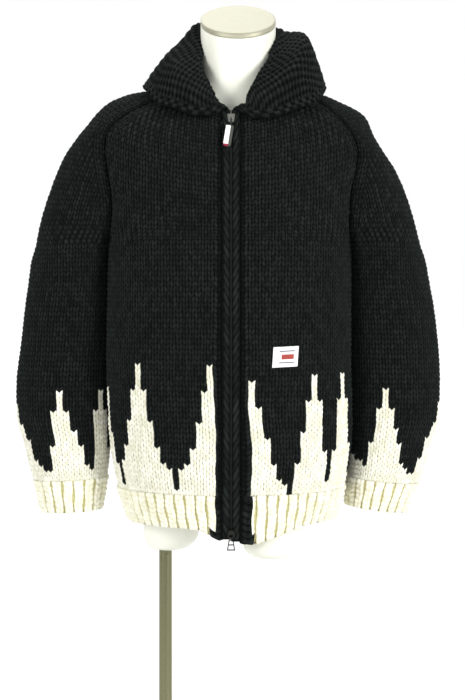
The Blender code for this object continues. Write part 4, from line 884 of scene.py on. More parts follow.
def knit(name, table, wales, template, stitch, relief=STITCH_RELIEF, sunk=STITCH_SUNK, dips=(1.4,) * 4,
         chart=None, thick=CLOTH, ease=None, warp=None, yarns=YARNS):
    """A knitted piece: a fine outer grid that follows every stitch, a coarse inner one and a closed rim.

    A point is the cloth's own point moved along its normal by relief times the stitch's height, less
    the depth at which the grooves lie.  dips are how far in millimetres the left, right, bottom and top
    edges roll inwards, ease how far the cloth gives way at a share and row, and warp where a wale
    really lies at a row.
    """
    left, right = wales
    rows = table["rows"]
    level = np.arange(PER_ROW * rows + 1) / PER_ROW
    wale_at, wale, beside, index = fit_wales(table, wales, np.array(template), level)
    levels = level[:, None] + 0.0 * wale
    slack = np.clip(np.minimum(levels, rows - levels) / END_ROWS, 0, 1)
    lift, slant = stitch(wale_at, levels, slack)
    sway = WALE_SWAY * np.sin(SWAY_TURN * levels + 2.0 * np.floor(wale_at)) * slack
    edges = (*beside, levels, rows - levels)
    dip = sum(0.001 * d * np.exp(-(e / EDGE_ROLL) ** 2) for d, e in zip(dips, edges))
    near = np.clip(np.minimum(*beside) / 0.5, 0, 1)
    share = share_of(table, (warp(wale, levels) if warp else wale) + sway * near, levels)
    points, normals = read_table(table, share, levels + slant * slack)
    rise = relief * lift - sunk - dip
    if ease is not None:
        rise = rise - ease(share, levels)
    outer = points + normals * rise[..., None]
    inner_levels, inner_shares = np.meshgrid(np.linspace(0, rows, rows // 3 + 1),
                                             np.linspace(0, 1, (left + right) // 2 + 1), indexing="ij")
    back, back_normals = read_table(table, inner_shares, inner_levels)
    inner = back - back_normals * (thick(inner_levels)[..., None] if callable(thick) else thick)
    inner_index = index.size + np.arange(inner_levels.size).reshape(inner_levels.shape)
    quads = grid_quads(index)
    flat_low, flat_high = quads[:, 0] == quads[:, 1], quads[:, 2] == quads[:, 3]
    whole, tops, feet = ~flat_low & ~flat_high, flat_low & ~flat_high, flat_high & ~flat_low
    rim = bridge(*ring_of(index, share, level / rows),
                 *ring_of(inner_index, inner_shares, inner_levels[:, 0] / rows))
    inner_low, inner_high = at_level(table, "low", inner_levels), at_level(table, "high", inner_levels)
    inner_wale = inner_low + inner_shares * (inner_high - inner_low)
    uv = np.concatenate([pair(wale_at, levels), pair(inner_wale, inner_levels)])
    dye = None
    if chart is not None:
        tile = pair((wale_at[:-1, 1:] + wale_at[:-1, :-1]) / 2, (levels[1:, :-1] + levels[:-1, :-1]) / 2)
        inner_tile = pair(inner_wale[:-1, :-1] + 1.0, inner_levels[:-1, :-1] + 1.0)
        rim_tile = np.clip(uv[rim[:, 0]], [-left, 0], [right - 1e-3, rows - 1e-3])
        dye = chart(*np.concatenate([tile[whole], inner_tile, tile[tops], tile[feet], rim_tile]).T)
    # the relief attribute sets the yarn's painted shade: dark between stitches, darker where an edge rolls
    # in, and full painted shade on the inner wall
    return fill_mesh(name, np.concatenate([outer.reshape(-1, 3), inner.reshape(-1, 3)]),
                     np.concatenate([quads[whole], grid_quads(inner_index)[:, [0, 3, 2, 1]]]),
                     np.concatenate([quads[tops][:, [1, 2, 3]], quads[feet][:, [0, 1, 2]], rim]),
                     [BLACK_YARN] if chart is None else yarns, uv, dye,
                     np.concatenate([(lift - dip / relief).ravel(), np.zeros(inner_levels.size)]))


print("grid lines for each row:", PER_ROW)

# %% [markdown]
# ## The stepped flame pattern
# Two colours meet in a row of flames: cream spikes one stitch wide at the tip, that widen in steps
# down to the rib, with black teeth between them.  Such stepped points are a common folk motif.
# Here a rule draws them: a spike's height falls by one fixed stair, wale by wale, from its middle.

# %% The chart rule
STAIR = (0.0, 5.0, 11.0, 15.8, 19.0, 20.4)   # rows lost at each wale away from a spike
TOOTH_SIDE = 6.0         # the wale beside a tooth rises at most this many rows over it


def flames(spikes, teeth, black_wales=(), stair_of=STAIR, side=TOOTH_SIDE):
    """A colour for each stitch: 1 for cream below the flames' outline, 0 for black above it.

    spikes and teeth are (wale, height in rows) pairs.  Each spike steps down by the same stair to both
    sides, and each tooth cuts one wale down between two of them.
    """
    def chart(wale, row):
        """The colour of the stitch at a wale and row, by the highest spike that reaches it."""
        wale, row = np.floor(wale), np.floor(row)
        height = np.full(wale.shape, -1.0)
        for middle, tip in spikes:
            away = np.abs(wale - middle)
            stair = tip - np.interp(away, np.arange(len(stair_of)), stair_of, right=99.0)
            for foot, low in teeth:
                beyond = (wale - foot) * (middle - foot) <= 0
                stair = np.where(beyond, -1.0, stair)
                stair = np.where(np.abs(wale - foot) == 1, np.minimum(stair, low + side), stair)
            height = np.maximum(height, stair)
        for foot, low in teeth:
            height = np.where(wale == foot, low, height)
        cream = row + 0.5 < height
        for low, high in black_wales:
            cream = cream & ~((wale >= low) & (wale < high))
        return cream.astype(int)
    return chart


print("stair of a spike:", STAIR)

# %% [markdown]
# ## Fronts and back
# Each front is knitted in one piece from the rib to the neck.  Its first wale beside the band stays
# black.  The surface function runs from the band's edge to the side, and the back runs from side
# to side.  The cloth eases inwards a little where an arm lies against the body.

# %% Fronts and back
FRONT_WALES = {-1: (0, 24), 1: (0, 23)}
BACK_WALES = (25, 25)
# rows, and width in wales of the black selvedge wale beside the band at these rows
SELVEDGE = {-1: ((0, 5, 11, 24, 40), (1.00, 1.00, 0.88, 1.42, 1.20)),
            1: ((0, 8, 12, 15, 18, 24, 40), (1.66, 1.80, 1.55, 1.24, 1.14, 1.30, 1.15))}
SELVEDGE_REACH = {-1: 6, 1: 16}      # wales over which the others make up for it
EASE = 0.0016            # how far cloth gives way beside the arm
EASE_WIDE = 0.05         # over this share of the width
EASE_TOP = 56.0          # up to this row, fading over the last EASE_FADE of them
EASE_FADE = 8.0


def side_ease(share, level):
    """How far a front gives way at its side: a bell at share 1 that fades at the underarm."""
    near = np.exp(-((1 - share) / EASE_WIDE) ** 2)
    return EASE * near * np.clip((EASE_TOP - level) / EASE_FADE, 0, 1)


def both_ease(share, level):
    """The same at both sides of the back or of a sleeve."""
    return side_ease(np.abs(2 * share - 1), level)


def selvedge(side):
    """Where a front's wales lie: the first one has its own width and its neighbours share the rest."""
    def warp(wale, level):
        """A wale's place at a row."""
        first = np.interp(level, *SELVEDGE[side])
        reach = SELVEDGE_REACH[side]
        near = first + (wale - 1) * (reach - first) / (reach - 1)
        return np.where(wale < 1, wale * first, np.where(wale < reach, near, wale))
    return warp


def front_shape(side):
    """A front's surface: share 0 at the band's edge to 1 at the side seam and raglan."""
    def shape(share, row):
        """The body's surface from the place across where the band ends."""
        start = band_across(side, np.ravel(row)).reshape(np.shape(row))
        return body_point(side, -1, start + (1 - start) * share, row)
    return shape


def back_shape(share, row, point=body_point):
    """The back's surface: share 0 at the right side to 1 at the left side, from its two halves."""
    across = 2 * share - 1
    right, left = (point(side, 1, np.abs(across), row) for side in (-1, 1))
    return np.where((across < 0)[..., None], right, left)


BODY_MIDDLE = np.array([0.0, 0.0, 1.1])
CHARTS = {
    "front_right": flames([(1, 25), (13, 25), (20, 25)], [(7, 1), (18, 1), (19, 5)], [(0, 1)]),
    "front_left": flames([(1, 22), (11, 23), (17, 23)], [(7, 0), (14, 2), (20, 3)], [(0, 1)]),
    "back": flames([(-21, 24), (-14, 26), (-8, 23), (-1, 25), (6, 26), (12, 23), (19, 25)],
                   [(-24, 5), (-18, 2), (-11, 1), (-4, 2), (2, 1), (9, 3), (16, 1), (23, 4)]),
}
tables, pieces = {}, {}
for side, node in ((-1, "front_right"), (1, "front_left")):
    print(node)
    tables[node] = cloth_table(front_shape(side), ROWS, 0.0, FRONT_WALES[side], BELOW, BODY_MIDDLE)
    pieces[node] = knit("knit_" + node, tables[node], FRONT_WALES[side], FINE_WALE[0], stockinette(FINE_WALE),
                        dips=(2.8, 1.4, 0.0, 1.0), chart=CHARTS[node], ease=side_ease, warp=selvedge(side))
print("back")
tables["back"] = cloth_table(back_shape, ROWS, 0.5, BACK_WALES, BELOW, BODY_MIDDLE)
pieces["back"] = knit("knit_back", tables["back"], BACK_WALES, PLAIN_WALE[0], stockinette(PLAIN_WALE),
                      dips=(1.4, 1.4, 0.0, 1.0), chart=CHARTS["back"], ease=both_ease)

# %% [markdown]
# ## Sleeves
# A sleeve is a tube up to the underarm and an open wedge above it, with the same flames above its
# cuff.  Wale 0 runs down its outer line, so the pattern is set out from there to both sides.

# %% Sleeves
SLEEVE_WALES = (21, 21)
SLEEVE_STAIR = (0.0, 4.0, 7.5, 11.0, 14.6, 16.0, 16.8)
SLEEVE_TOOTH_SIDE = 12.0
SLEEVE_CHARTS = {
    -1: flames([(-19, 18), (-13, 19), (-7, 18), (0, 19), (10, 18), (17, 18)],
               [(-16, 2), (-10, 2), (-4, 2), (7, 2), (8, 7), (15, 2), (19, 6), (20, 6)],
               stair_of=SLEEVE_STAIR, side=SLEEVE_TOOTH_SIDE),
    1: flames([(-18, 17), (-12, 19), (-6, 18), (0, 20), (12, 19)],
              [(-15, 3), (-9, 2), (-3, 2), (5, 2), (14, 8), (15, 3), (16, 4), (17, 4), (18, 5), (19, 5),
               (20, 5)],
              stair_of=SLEEVE_STAIR, side=SLEEVE_TOOTH_SIDE),
}

for side, node in ((-1, "sleeve_right"), (1, "sleeve_left")):
    print(node)
    rows = SLEEVES[side]
    middle = np.array([side * 0.5 * (rows[:, 0] + rows[:, 2]).mean(), rows[:, 4].mean(), 1.0])
    tables[node] = cloth_table(lambda share, row, side=side: sleeve_point(side, share, row), ROWS, 0.5,
                               SLEEVE_WALES, BELOW, middle)
    pieces[node] = knit("knit_" + node, tables[node], SLEEVE_WALES, PLAIN_WALE[0], stockinette(PLAIN_WALE),
                        dips=(1.4, 1.4, 0.0, 1.0), chart=SLEEVE_CHARTS[side], ease=both_ease)

# %% [markdown]
# ## Ribs
# The hem and cuffs alternate one knitted wale and one sunk purl wale, which pulls the edge in.
# The same knitting function makes them: a rib counts as one wide wale whose edges lie deep.

# %% Hem and cuff surfaces
HEM_FRONT_RIBS = 13
HEM_BACK_RIBS = 26
CUFF_RIBS = {-1: 18, 1: 20}
HEM_TAPER = 1.3          # the hem draws in faster toward its edge
CUFF_TAPER = 0.9
HEM_SPAN = 0.1835        # half-width at the hem's middle, for its first column
RIB_RELIEF = 0.0050
RIB_SUNK = 0.0012
SEAM_HALF = 0.00015      # half the gap between a sleeve and its cuff


def hem_point(side, facing, across, down):
    """The hem's outer surface from its top (0) to its lower edge (1).

    x and y go by the sine and cosine of a quarter turn, and the half-width shrinks by a power of down.
    """
    across, down = np.broadcast_arrays(np.asarray(across, float), np.asarray(down, float))
    half_width = SIDE_ROWS[0][1 if side < 0 else 2] - HEM_DRAW_IN * down ** HEM_TAPER
    foot = profile(HEM_EDGE[side], np.abs(across)) if facing < 0 else HEM_BOTTOM
    z = HEM_TOP + (foot - HEM_TOP) * down
    level = HEM_TOP + (HEM_BOTTOM - HEM_TOP) * down
    centre_y = profile(FRONT_PROFILE if facing < 0 else BACK_PROFILE, level)
    turn = across * math.pi / 2
    x = CENTRE_X + (side * half_width - CENTRE_X) * np.sin(turn)
    y = centre_y * np.cos(turn)
    return np.stack([x, y, z], -1)


def cuff_point(side, turn, down):
    """The cuff's outer surface; turn is an angle round it, down runs from its top (0) to its mouth.

    The section's measures go from top to mouth by a power of down, and an oval of them is drawn.
    """
    top = np.array(SLEEVE_RIGHT[0] if side < 0 else SLEEVE_LEFT[0])
    mouth = np.array(CUFF_MOUTH[side])
    turn, down = np.broadcast_arrays(np.asarray(turn, float), np.asarray(down, float))
    data = top + (mouth - top) * (down ** CUFF_TAPER)[..., None]
    reach = 0.5 * (np.cos(turn) + 1)
    x = side * (data[..., 1] + (data[..., 3] - data[..., 1]) * reach)
    z = data[..., 0] + (data[..., 2] - data[..., 0]) * reach - 2 * SEAM_HALF * (1 - down)
    y = data[..., 4] - data[..., 5] * np.sin(turn)
    return np.stack([x, y, z], -1)


def hem_shape(side):
    """A front's hem: share 0 at the band's edge to 1 at the side, row 0 at the lower edge to 1 at the top."""
    first = math.asin(PANEL_EDGE / HEM_SPAN) / (math.pi / 2)
    return lambda share, row: hem_point(side, -1, first + (1 - first) * share, 1 - row)


print("hem from", HEM_TOP, "down to", [rows[0][1] for rows in HEM_EDGE.values()], "at the centre front")

# %% [markdown]
# A pulled-on rib is stretched, so its grooves open.  The ribs beside the bands stand nearly upright,
# and those near the sides take up the slant.

# %% Hem and cuffs
HEM_LEAN = 0.12          # part by which the ribs would lean in at the lower edge
RIB_ROWS = 9.0           # rows of a rib
FIRST_RIB = 0.42         # how much wider the first rib lies than the others
RIB_DYES = [BLACK_YARN, RIB_YARN]


def rib_chart(black):
    """Cream ribs with a few black places, each (from rib, to rib, highest row)."""
    def chart(rib, row):
        """1 for cream and 0 for black."""
        cream = np.ones(rib.shape, int)
        for first, last, high in black:
            cream = np.where((rib >= first) & (rib < last) & (row <= high), 0, cream)
        return cream
    return chart


def upright(ribs, first):
    """Ribs run nearly upright beside the band, the first one widest: those near the side give way for it."""
    def warp(rib, level):
        """A rib's place at a row: moved outwards by a part that shrinks toward the side."""
        stretch = HEM_LEAN * (1 - level / RIB_ROWS)
        return rib + (stretch * rib + first * np.minimum(rib, 1)) * (1 - rib / ribs)
    return warp


def hem_back_shape(share, row):
    """The back's hem from side to side."""
    return back_shape(share, 1 - row, hem_point)


RIB_STITCH = stockinette(RIB_WALE)
for node, shape, ribs, black in (
        ("hem_rib_right", hem_shape(-1), (0, HEM_FRONT_RIBS), [(0, 0.45, 9), (0, 0.85, 1.6)]),
        ("hem_rib_left", hem_shape(1), (0, HEM_FRONT_RIBS), [(0, 0.75, 9), (0, 0.95, 1.6)]),
        ("hem_rib_back", hem_back_shape, (HEM_BACK_RIBS // 2,) * 2, [])):
    print(node)
    tables[node] = cloth_table(shape, 1, 0.5 if ribs[0] else 0.0, ribs, 2, np.array([0, 0, 0.68]))
    pieces[node] = knit("knit_" + node, tables[node], ribs, RIB_WALE[0], RIB_STITCH, RIB_RELIEF, RIB_SUNK,
                        dips=(1.2, 0.5, 1.2, 0.0), chart=rib_chart(black),
                        warp=upright(HEM_FRONT_RIBS, FIRST_RIB) if black else None, yarns=RIB_DYES)

for side, node in ((-1, "cuff_right"), (1, "cuff_left")):
    print(node)
    mouth, ribs = CUFF_MOUTH[side], (CUFF_RIBS[side] // 2,) * 2
    inside = np.array([side * 0.5 * (mouth[1] + mouth[3]), mouth[4], 0.69])
    tables[node] = cloth_table(
        lambda share, row, side=side: cuff_point(side, (2 * share - 1) * math.pi, 1 - row),
        1, 0.5, ribs, 2, inside)
    pieces[node] = knit("knit_" + node, tables[node], ribs, RIB_WALE[0], RIB_STITCH, RIB_RELIEF, RIB_SUNK,
                        dips=(0.2, 0.2, 1.2, 0.0), chart=rib_chart([]), yarns=RIB_DYES)

# %% [markdown]
# ## Collar
# The collar stands up round the neck, rolls over and falls outwards.  Its form is a set of ribs from
# the neckline over the fold to the outer edge, joined by a smooth surface in both directions, and
# moss stitch covers it: small beads set like a chequerboard.

# %% Collar table
# collar ribs from centre front to centre back; columns: place on the neckline (0-1 front panel,
# 1-2 sleeve head, 2-3 back), fold crest x y z, crown of the fall x y z, outer edge x y z
COLLAR_RIGHT = (
    (0.00, -0.0060, -0.1040, 1.3375, -0.0090, -0.1100, 1.3360, -0.0130, -0.1110, 1.3330),
    (0.20, -0.0235, -0.1000, 1.3500, -0.0270, -0.1130, 1.3400, -0.0290, -0.1170, 1.3245),
    (0.42, -0.0320, -0.0940, 1.3650, -0.0480, -0.1110, 1.3520, -0.0620, -0.1160, 1.3240),
    (0.68, -0.0410, -0.0840, 1.3830, -0.0700, -0.1020, 1.3690, -0.0950, -0.1030, 1.3370),
    (0.94, -0.0510, -0.0680, 1.4040, -0.0880, -0.0840, 1.3950, -0.1220, -0.0900, 1.3470),
    (1.22, -0.0570, -0.0400, 1.4330, -0.0980, -0.0540, 1.4240, -0.1400, -0.0580, 1.3690),
    (1.50, -0.0600, -0.0080, 1.4660, -0.1020, -0.0160, 1.4460, -0.1510, -0.0140, 1.3830),
    (1.78, -0.0590, 0.0240, 1.4950, -0.1000, 0.0260, 1.4510, -0.1460, 0.0340, 1.3820),
    (2.14, -0.0440, 0.0600, 1.5040, -0.0820, 0.0840, 1.4500, -0.1180, 0.1000, 1.3680),
    (2.57, -0.0170, 0.0800, 1.5040, -0.0420, 0.1120, 1.4460, -0.0620, 0.1330, 1.3560),
    (3.00, 0.0110, 0.0860, 1.5030, 0.0110, 0.1200, 1.4440, 0.0110, 0.1410, 1.3530),
)
COLLAR_LEFT = (
    (0.00, 0.0030, -0.1040, 1.3375, 0.0080, -0.1100, 1.3350, 0.0140, -0.1110, 1.3305),
    (0.20, 0.0235, -0.1000, 1.3470, 0.0300, -0.1140, 1.3370, 0.0360, -0.1190, 1.3180),
    (0.42, 0.0290, -0.0950, 1.3640, 0.0480, -0.1130, 1.3500, 0.0700, -0.1180, 1.3220),
    (0.68, 0.0385, -0.0870, 1.3810, 0.0720, -0.1040, 1.3700, 0.1010, -0.1060, 1.3340),
    (0.94, 0.0510, -0.0740, 1.4040, 0.0950, -0.0880, 1.4020, 0.1320, -0.0930, 1.3460),
    (1.22, 0.0680, -0.0500, 1.4330, 0.1180, -0.0600, 1.4400, 0.1510, -0.0600, 1.3640),
    (1.50, 0.0800, -0.0180, 1.4640, 0.1230, -0.0200, 1.4700, 0.1590, -0.0150, 1.3800),
    (1.78, 0.0820, 0.0200, 1.4870, 0.1180, 0.0280, 1.4780, 0.1560, 0.0340, 1.3800),
    (2.14, 0.0660, 0.0600, 1.4990, 0.0980, 0.0860, 1.4640, 0.1280, 0.0990, 1.3680),
    (2.57, 0.0400, 0.0800, 1.5030, 0.0600, 0.1130, 1.4500, 0.0740, 0.1330, 1.3560),
    (3.00, 0.0110, 0.0860, 1.5030, 0.0110, 0.1200, 1.4440, 0.0110, 0.1410, 1.3530),
)
COLLAR_LIFT = 0.0017     # clearance between the neckline and the collar's base
COLLAR_CLOTH = 0.0042    # a little thinner than the body, as it rolls over tightly
COLLAR_SEATED = (5.5, 7.5)   # between these ribs the stand leans on the neck
COLLAR_SEAT = 0.0007     # how far its corner points lie off the neck's surface
COLLAR_TIP = 0.0016      # thickness at the collar's two front ends
FOLD_RADIUS = 0.0092     # half the width of the collar's rolled top
COLLAR_STEPS = (0, 1, 2, 3, 4, 4.5, 5, 5.5, 6, 6.5, 7, 7.5, 8, 9, 10)
NECK_X = 0.0105
NECK_Y = 0.0060
NECK_RADIUS = 0.0640
NECK_AXIS = np.array([NECK_X, NECK_Y, 0.0])
LEVEL = np.array([1.0, 1.0, 0.0])
print("the collar is drawn with", 2 * len(COLLAR_STEPS) - 1, "ribs")

# %% [markdown]
# A rib is eight points: the neckline, the stand, the near side of the roll, its crest, its far side,
# the crown of the fall, its belly and its edge.  Those at the neck lean on it.

# %% Collar ribs
COLLAR_INSET = 0.0006    # gap between the cloth's inner face and the collar's base
THROAT = 0.0040          # the neckline starts this far from the centre line


def to_neck(points):
    """Level directions from points toward the neck's axis."""
    return unit((NECK_AXIS - points) * LEVEL)


def neckline(side, place_on):
    """A point on the neckline: 0-1 over the front, 1-2 over the sleeve head, 2-3 over the back."""
    if place_on <= 1.0:
        start = float(band_across(side, np.array([float(ROWS)]), THROAT)[0])
        return body_point(side, -1, start + (1 - start) * place_on, float(ROWS))
    if place_on <= 2.0:
        return sleeve_point(side, 2.0 - place_on, float(ROWS))
    return body_point(side, 1, 3.0 - place_on, float(ROWS))


def seat_on_neck(point):
    """The point moved level until it lies just off the neck."""
    return NECK_AXIS - to_neck(point) * (NECK_RADIUS + COLLAR_SEAT) + np.array([0, 0, point[2]])


def collar_rib(side, at):
    """One rib of the collar: eight points up the neck, over the fold and down the fall.

    The roll is as wide as the fold's radius, or less where crest and crown lie close together, and the
    belly stands out from the middle of the fall by a small part of its length.
    """
    rows = COLLAR_RIGHT if side < 0 else COLLAR_LEFT
    data = spline(rows, at)[0]
    base = neckline(side, float(np.clip(data[0], 0.0, 3.0)))
    inward = to_neck(base)
    base = base + inward * (CLOTH + COLLAR_INSET) + np.array([0, 0, COLLAR_LIFT])
    crest, crown, edge = data[1:4], data[4:7], data[7:10]
    level = unit((crown - crest) * LEVEL)
    roll = min(FOLD_RADIUS, 0.45 * float(np.linalg.norm(crown - crest)) + 0.001)
    near = crest - level * roll * 0.75 - np.array([0, 0, roll * 0.9])
    far = crest + level * roll + np.array([0, 0, -roll * 0.25])
    belly = 0.5 * (crown + edge) + 0.03 * np.linalg.norm(crown - edge) * unit(crest - base + level * 0.6)
    if COLLAR_SEATED[0] <= at <= COLLAR_SEATED[1]:
        near = seat_on_neck(near)
    stand = 0.5 * (base + near) + inward * 0.001
    return np.array([base, stand, near, crest, far, crown, belly, edge])


COLLAR_RIBS = np.array([collar_rib(-1, s) for s in COLLAR_STEPS]
                       + [collar_rib(1, s) for s in COLLAR_STEPS[::-1][1:]])
print("collar top at", round(float(COLLAR_RIBS[..., 2].max()), 3), "m")

# %% [markdown]
# The moss stitch runs round the neck in rows of beads, so the table's rows go round it as well.

# %% Collar
COLLAR_STITCHES = 108    # round the neck
COLLAR_ROW = 0.0069
COLLAR_RELIEF = 0.0034
COLLAR_SUNK = 0.0014
COLLAR_THINNED = 0.25    # share of its length over which an end grows to full thickness


def collar_surface(at, up):
    """The collar's face: at counts its ribs from the right front end, up its points from base to edge.

    The smooth curve through a unit matrix gives each point's weight, once along and once across.
    """
    along, across = (spline(np.eye(count), place) for count, place in zip(COLLAR_RIBS.shape, (at, up)))
    return np.einsum("ai,bj,ijk->abk", along, across, COLLAR_RIBS)


def collar_table():
    """Table of the collar: rows of the table run round the neck, its shares from the neckline to the edge."""
    fine = np.linspace(0, len(COLLAR_RIBS) - 1, 600)
    up = np.linspace(0, COLLAR_RIBS.shape[1] - 1, 200)
    round_way = arc(collar_surface(fine, np.array([5.0])), 0)[:, 0]
    at = np.interp(np.linspace(0, round_way[-1], COLLAR_STITCHES + 1), round_way, fine)
    grid = collar_surface(at, up)
    length = arc(grid, 1)
    even = np.linspace(0, 1, SHARES)
    points = np.stack([np.stack([np.interp(even * each[-1], each, line[:, k]) for k in range(3)], -1)
                       for each, line in zip(length, grid)])
    normals = unit(np.cross(np.gradient(points, axis=1), np.gradient(points, axis=0)))
    normals = normals * np.sign(np.einsum("ij,ij->", normals[:, 0], to_neck(points[:, 0])))
    width = length[:, -1]
    return {"points": points, "normals": normals, "rows": COLLAR_STITCHES, "low": 0 * width,
            "high": width / COLLAR_ROW, "left": 0 * width, "width": width,
            "area": float(width.mean() * round_way[-1]), "flat": (float(width.max()), float(round_way[-1]))}


def collar_thick(level):
    """The collar's cloth runs out thin at both front ends."""
    from_end = np.minimum(level, COLLAR_STITCHES - level) / COLLAR_STITCHES
    return COLLAR_TIP + (COLLAR_CLOTH - COLLAR_TIP) * np.clip(from_end / COLLAR_THINNED, 0, 1)


tables["collar"] = collar_table()
collar_high = int(math.ceil(tables["collar"]["high"].max()))
print("collar rows", collar_high, "width", round(float(tables["collar"]["width"].max()), 3))
pieces["collar"] = knit("knit_collar", tables["collar"], (0, collar_high), (0.0, 0.25, 0.5, 0.75), moss,
                        COLLAR_RELIEF, COLLAR_SUNK, dips=(0.6, 1.2, 0.6, 0.6), thick=collar_thick)

# %% [markdown]
# ## Front bands and zip
# Each front ends in a thick knitted cord band whose long stitches lean toward the zip.  The closed
# zip runs between them: a chain of small moulded teeth on a woven tape that shows only as a line.

# %% Bands
BAND_GRID = (345, 13)    # points along a band and across it
BAND_BOTTOM = {-1: 0.6385, 1: 0.6350}
BAND_THICK = 0.0055
BAND_STITCH = 0.0155     # repeat of the leaning strands along the band
BAND_LEAN = 0.0230       # how far one of them rises across the band
BAND_FACE = 0.0036       # height of a strand's back over the band's edges
BAND_EDGE = -0.0010      # the band's edges lie this far in front of the front's centre line
BAND_CLOSE = 0.0011      # the two bands nearly meet in front of the chain
BAND_TUCK = 0.0060       # how far a band's top end runs up under the collar
BAND_GROOVE = 0.80       # part of the height that is lost between two strands
BAND_PULL = (0.0007, 0.0024)     # how far the outer edge draws in, and how much more between strands
BAND_FREE = (0.717, BAND_TOP - 0.012)    # it draws in between these heights, and fades over BAND_FADE
BAND_FADE = 0.012
BAND_SPREAD = (0.0026, 0.0008)   # how far it spreads again under the collar and beside the hem


def front_line(height):
    """y of the front's centre line at a height."""
    return profile(FRONT_PROFILE, np.asarray(height, float))


def front_normal(height):
    """Outward direction of the front's centre line in the YZ plane."""
    slope = (front_line(height + 0.002) - front_line(height - 0.002)) / 0.004
    return unit(np.stack([0 * slope, -np.ones_like(slope), slope], -1))


def strip_normal(heights):
    """The same along a whole strip, but level at its two ends, so that they are cut square."""
    normal = front_normal(heights)
    normal[0] = normal[-1] = (0, -1, 0)
    return normal


def band(name, side):
    """A band: a rounded cord section along the front, with grooves between its leaning stitches.

    The height over the edges is a sine across the band times a sine along it whose phase leans, both
    raised to a power under one, so that the strands look full and the grooves narrow.
    """
    heights = np.linspace(BAND_BOTTOM[side], BAND_TOP + BAND_TUCK, BAND_GRID[0])
    normal = strip_normal(heights)[:, None]
    z, t = np.meshgrid(heights, np.linspace(0, 1, BAND_GRID[1]), indexing="ij")
    phase = (z - BAND_LEAN * t) / BAND_STITCH
    strand = np.abs(np.sin(math.pi * phase)) ** 0.6
    ends = np.clip((z - heights[0]) / 0.006, 0, 1) ** 0.5
    depth = (1 - BAND_GROOVE * (1 - strand)) * np.sin(math.pi * t) ** 0.7 * ends
    outer = np.stack([CENTRE_X + side * (BAND_INNER + (BAND_OUTER - BAND_INNER) * t), front_line(z), z], -1)
    inner = outer - normal * (BAND_THICK - BAND_PROUD)
    free = np.clip(np.minimum(z - BAND_FREE[0], BAND_FREE[1] - z) / BAND_FADE, 0, 1)
    drawn = (BAND_PULL[0] + BAND_PULL[1] * (1 - strand)) * free
    under_collar = BAND_SPREAD[0] * np.clip((z - BAND_TOP + 0.008) / 0.005, 0, 1)
    beside_hem = BAND_SPREAD[1] * np.clip((0.720 - z) / 0.004, 0, 1)
    outer[..., 0] -= side * ((drawn - under_collar - beside_hem) * np.clip(2 * t - 1, 0, 1)
                             + BAND_CLOSE * np.clip(1 - 3 * t, 0, 1))
    outer = outer + normal * (BAND_EDGE + BAND_FACE * depth)[..., None]
    uv = pair(t * 0.5 + 9 * side, phase)
    # depth is also the relief that the yarn reads for its painted shade: dark between the strands and along
    # both edges, and full painted shade on the back face
    return fill_mesh(name, *slab(outer, inner), [], [BLACK_YARN], np.concatenate([uv, uv]), None,
                     np.concatenate([depth.ravel(), 0 * depth.ravel()]))


for side, node in ((-1, "band_right"), (1, "band_left")):
    pieces[node] = band("knit_" + node, side)
print("strands on a band:", round((BAND_TOP - BAND_BOTTOM[1]) / BAND_STITCH))

# %% [markdown]
# ## Hard finishes
# Moulded and cast pieces have two close tones, a roughness that varies a little and a fine grain.
# One noise drives all three, so a bright spot is also a smoother one, as on the real surface.

# %% Moulded and cast finishes


def moulded(name, colour, light, roughness, speck=250.0, metallic=0.0, bump=0.00015):
    """A hard surface: two close tones by noise, with roughness and a fine bump that vary with it."""
    material, shader, add = plain_material(name)
    grain = noise(add, add("ShaderNodeTexCoord").outputs["Object"], speck, 4.0)
    dress(add, shader, {"Base Color": mixed(add, grain, colour, light), "Metallic": metallic,
                        "Roughness": maths(add, "MULTIPLY_ADD", grain, 0.2, roughness - 0.1)},
          grain, 0.5, bump)
    return material


TAPE_CLOTH = moulded("zip_tape_weave", (0.004, 0.005, 0.005), (0.012, 0.013, 0.013), 0.9, 1600.0)
TOOTH_PLASTIC = moulded("zip_tooth_black", (0.006, 0.007, 0.007), (0.014, 0.015, 0.015), 0.55)
print("zip finishes:", TAPE_CLOTH.name, TOOTH_PLASTIC.name)

# %% [markdown]
# ## Zip
# The tape is a thin strip behind the bands with a low ridge in the middle, and the closed chain is a
# row of small wedges, set in turn a little to the left and right, because the teeth interlock.
# One tooth is a block of eight points; all of them are laid out at once with array sums.

# %% Zip chain and tape
ZIP_BOTTOM = 0.6400
ZIP_TOP = 1.3275
TAPE_HALF = 0.0110
TAPE_THICK = 0.0010
RIDGE = (0.0008, 0.0030)         # half-width and depth of the tape's middle ridge
CONTACT = 0.0003
TOOTH_PITCH = 0.0030
TOOTH_DEPTHS = (-0.0034, -0.0018)    # a tooth's front and back, along the front's outward direction
TOOTH_HALVES = (0.0014, 0.0011)      # half its width at the front and at the back
TOOTH_SHIFT = 0.00025
CHAIN_ENDS = (0.012, 0.030)      # where the chain starts on the tape, and how much shorter it is


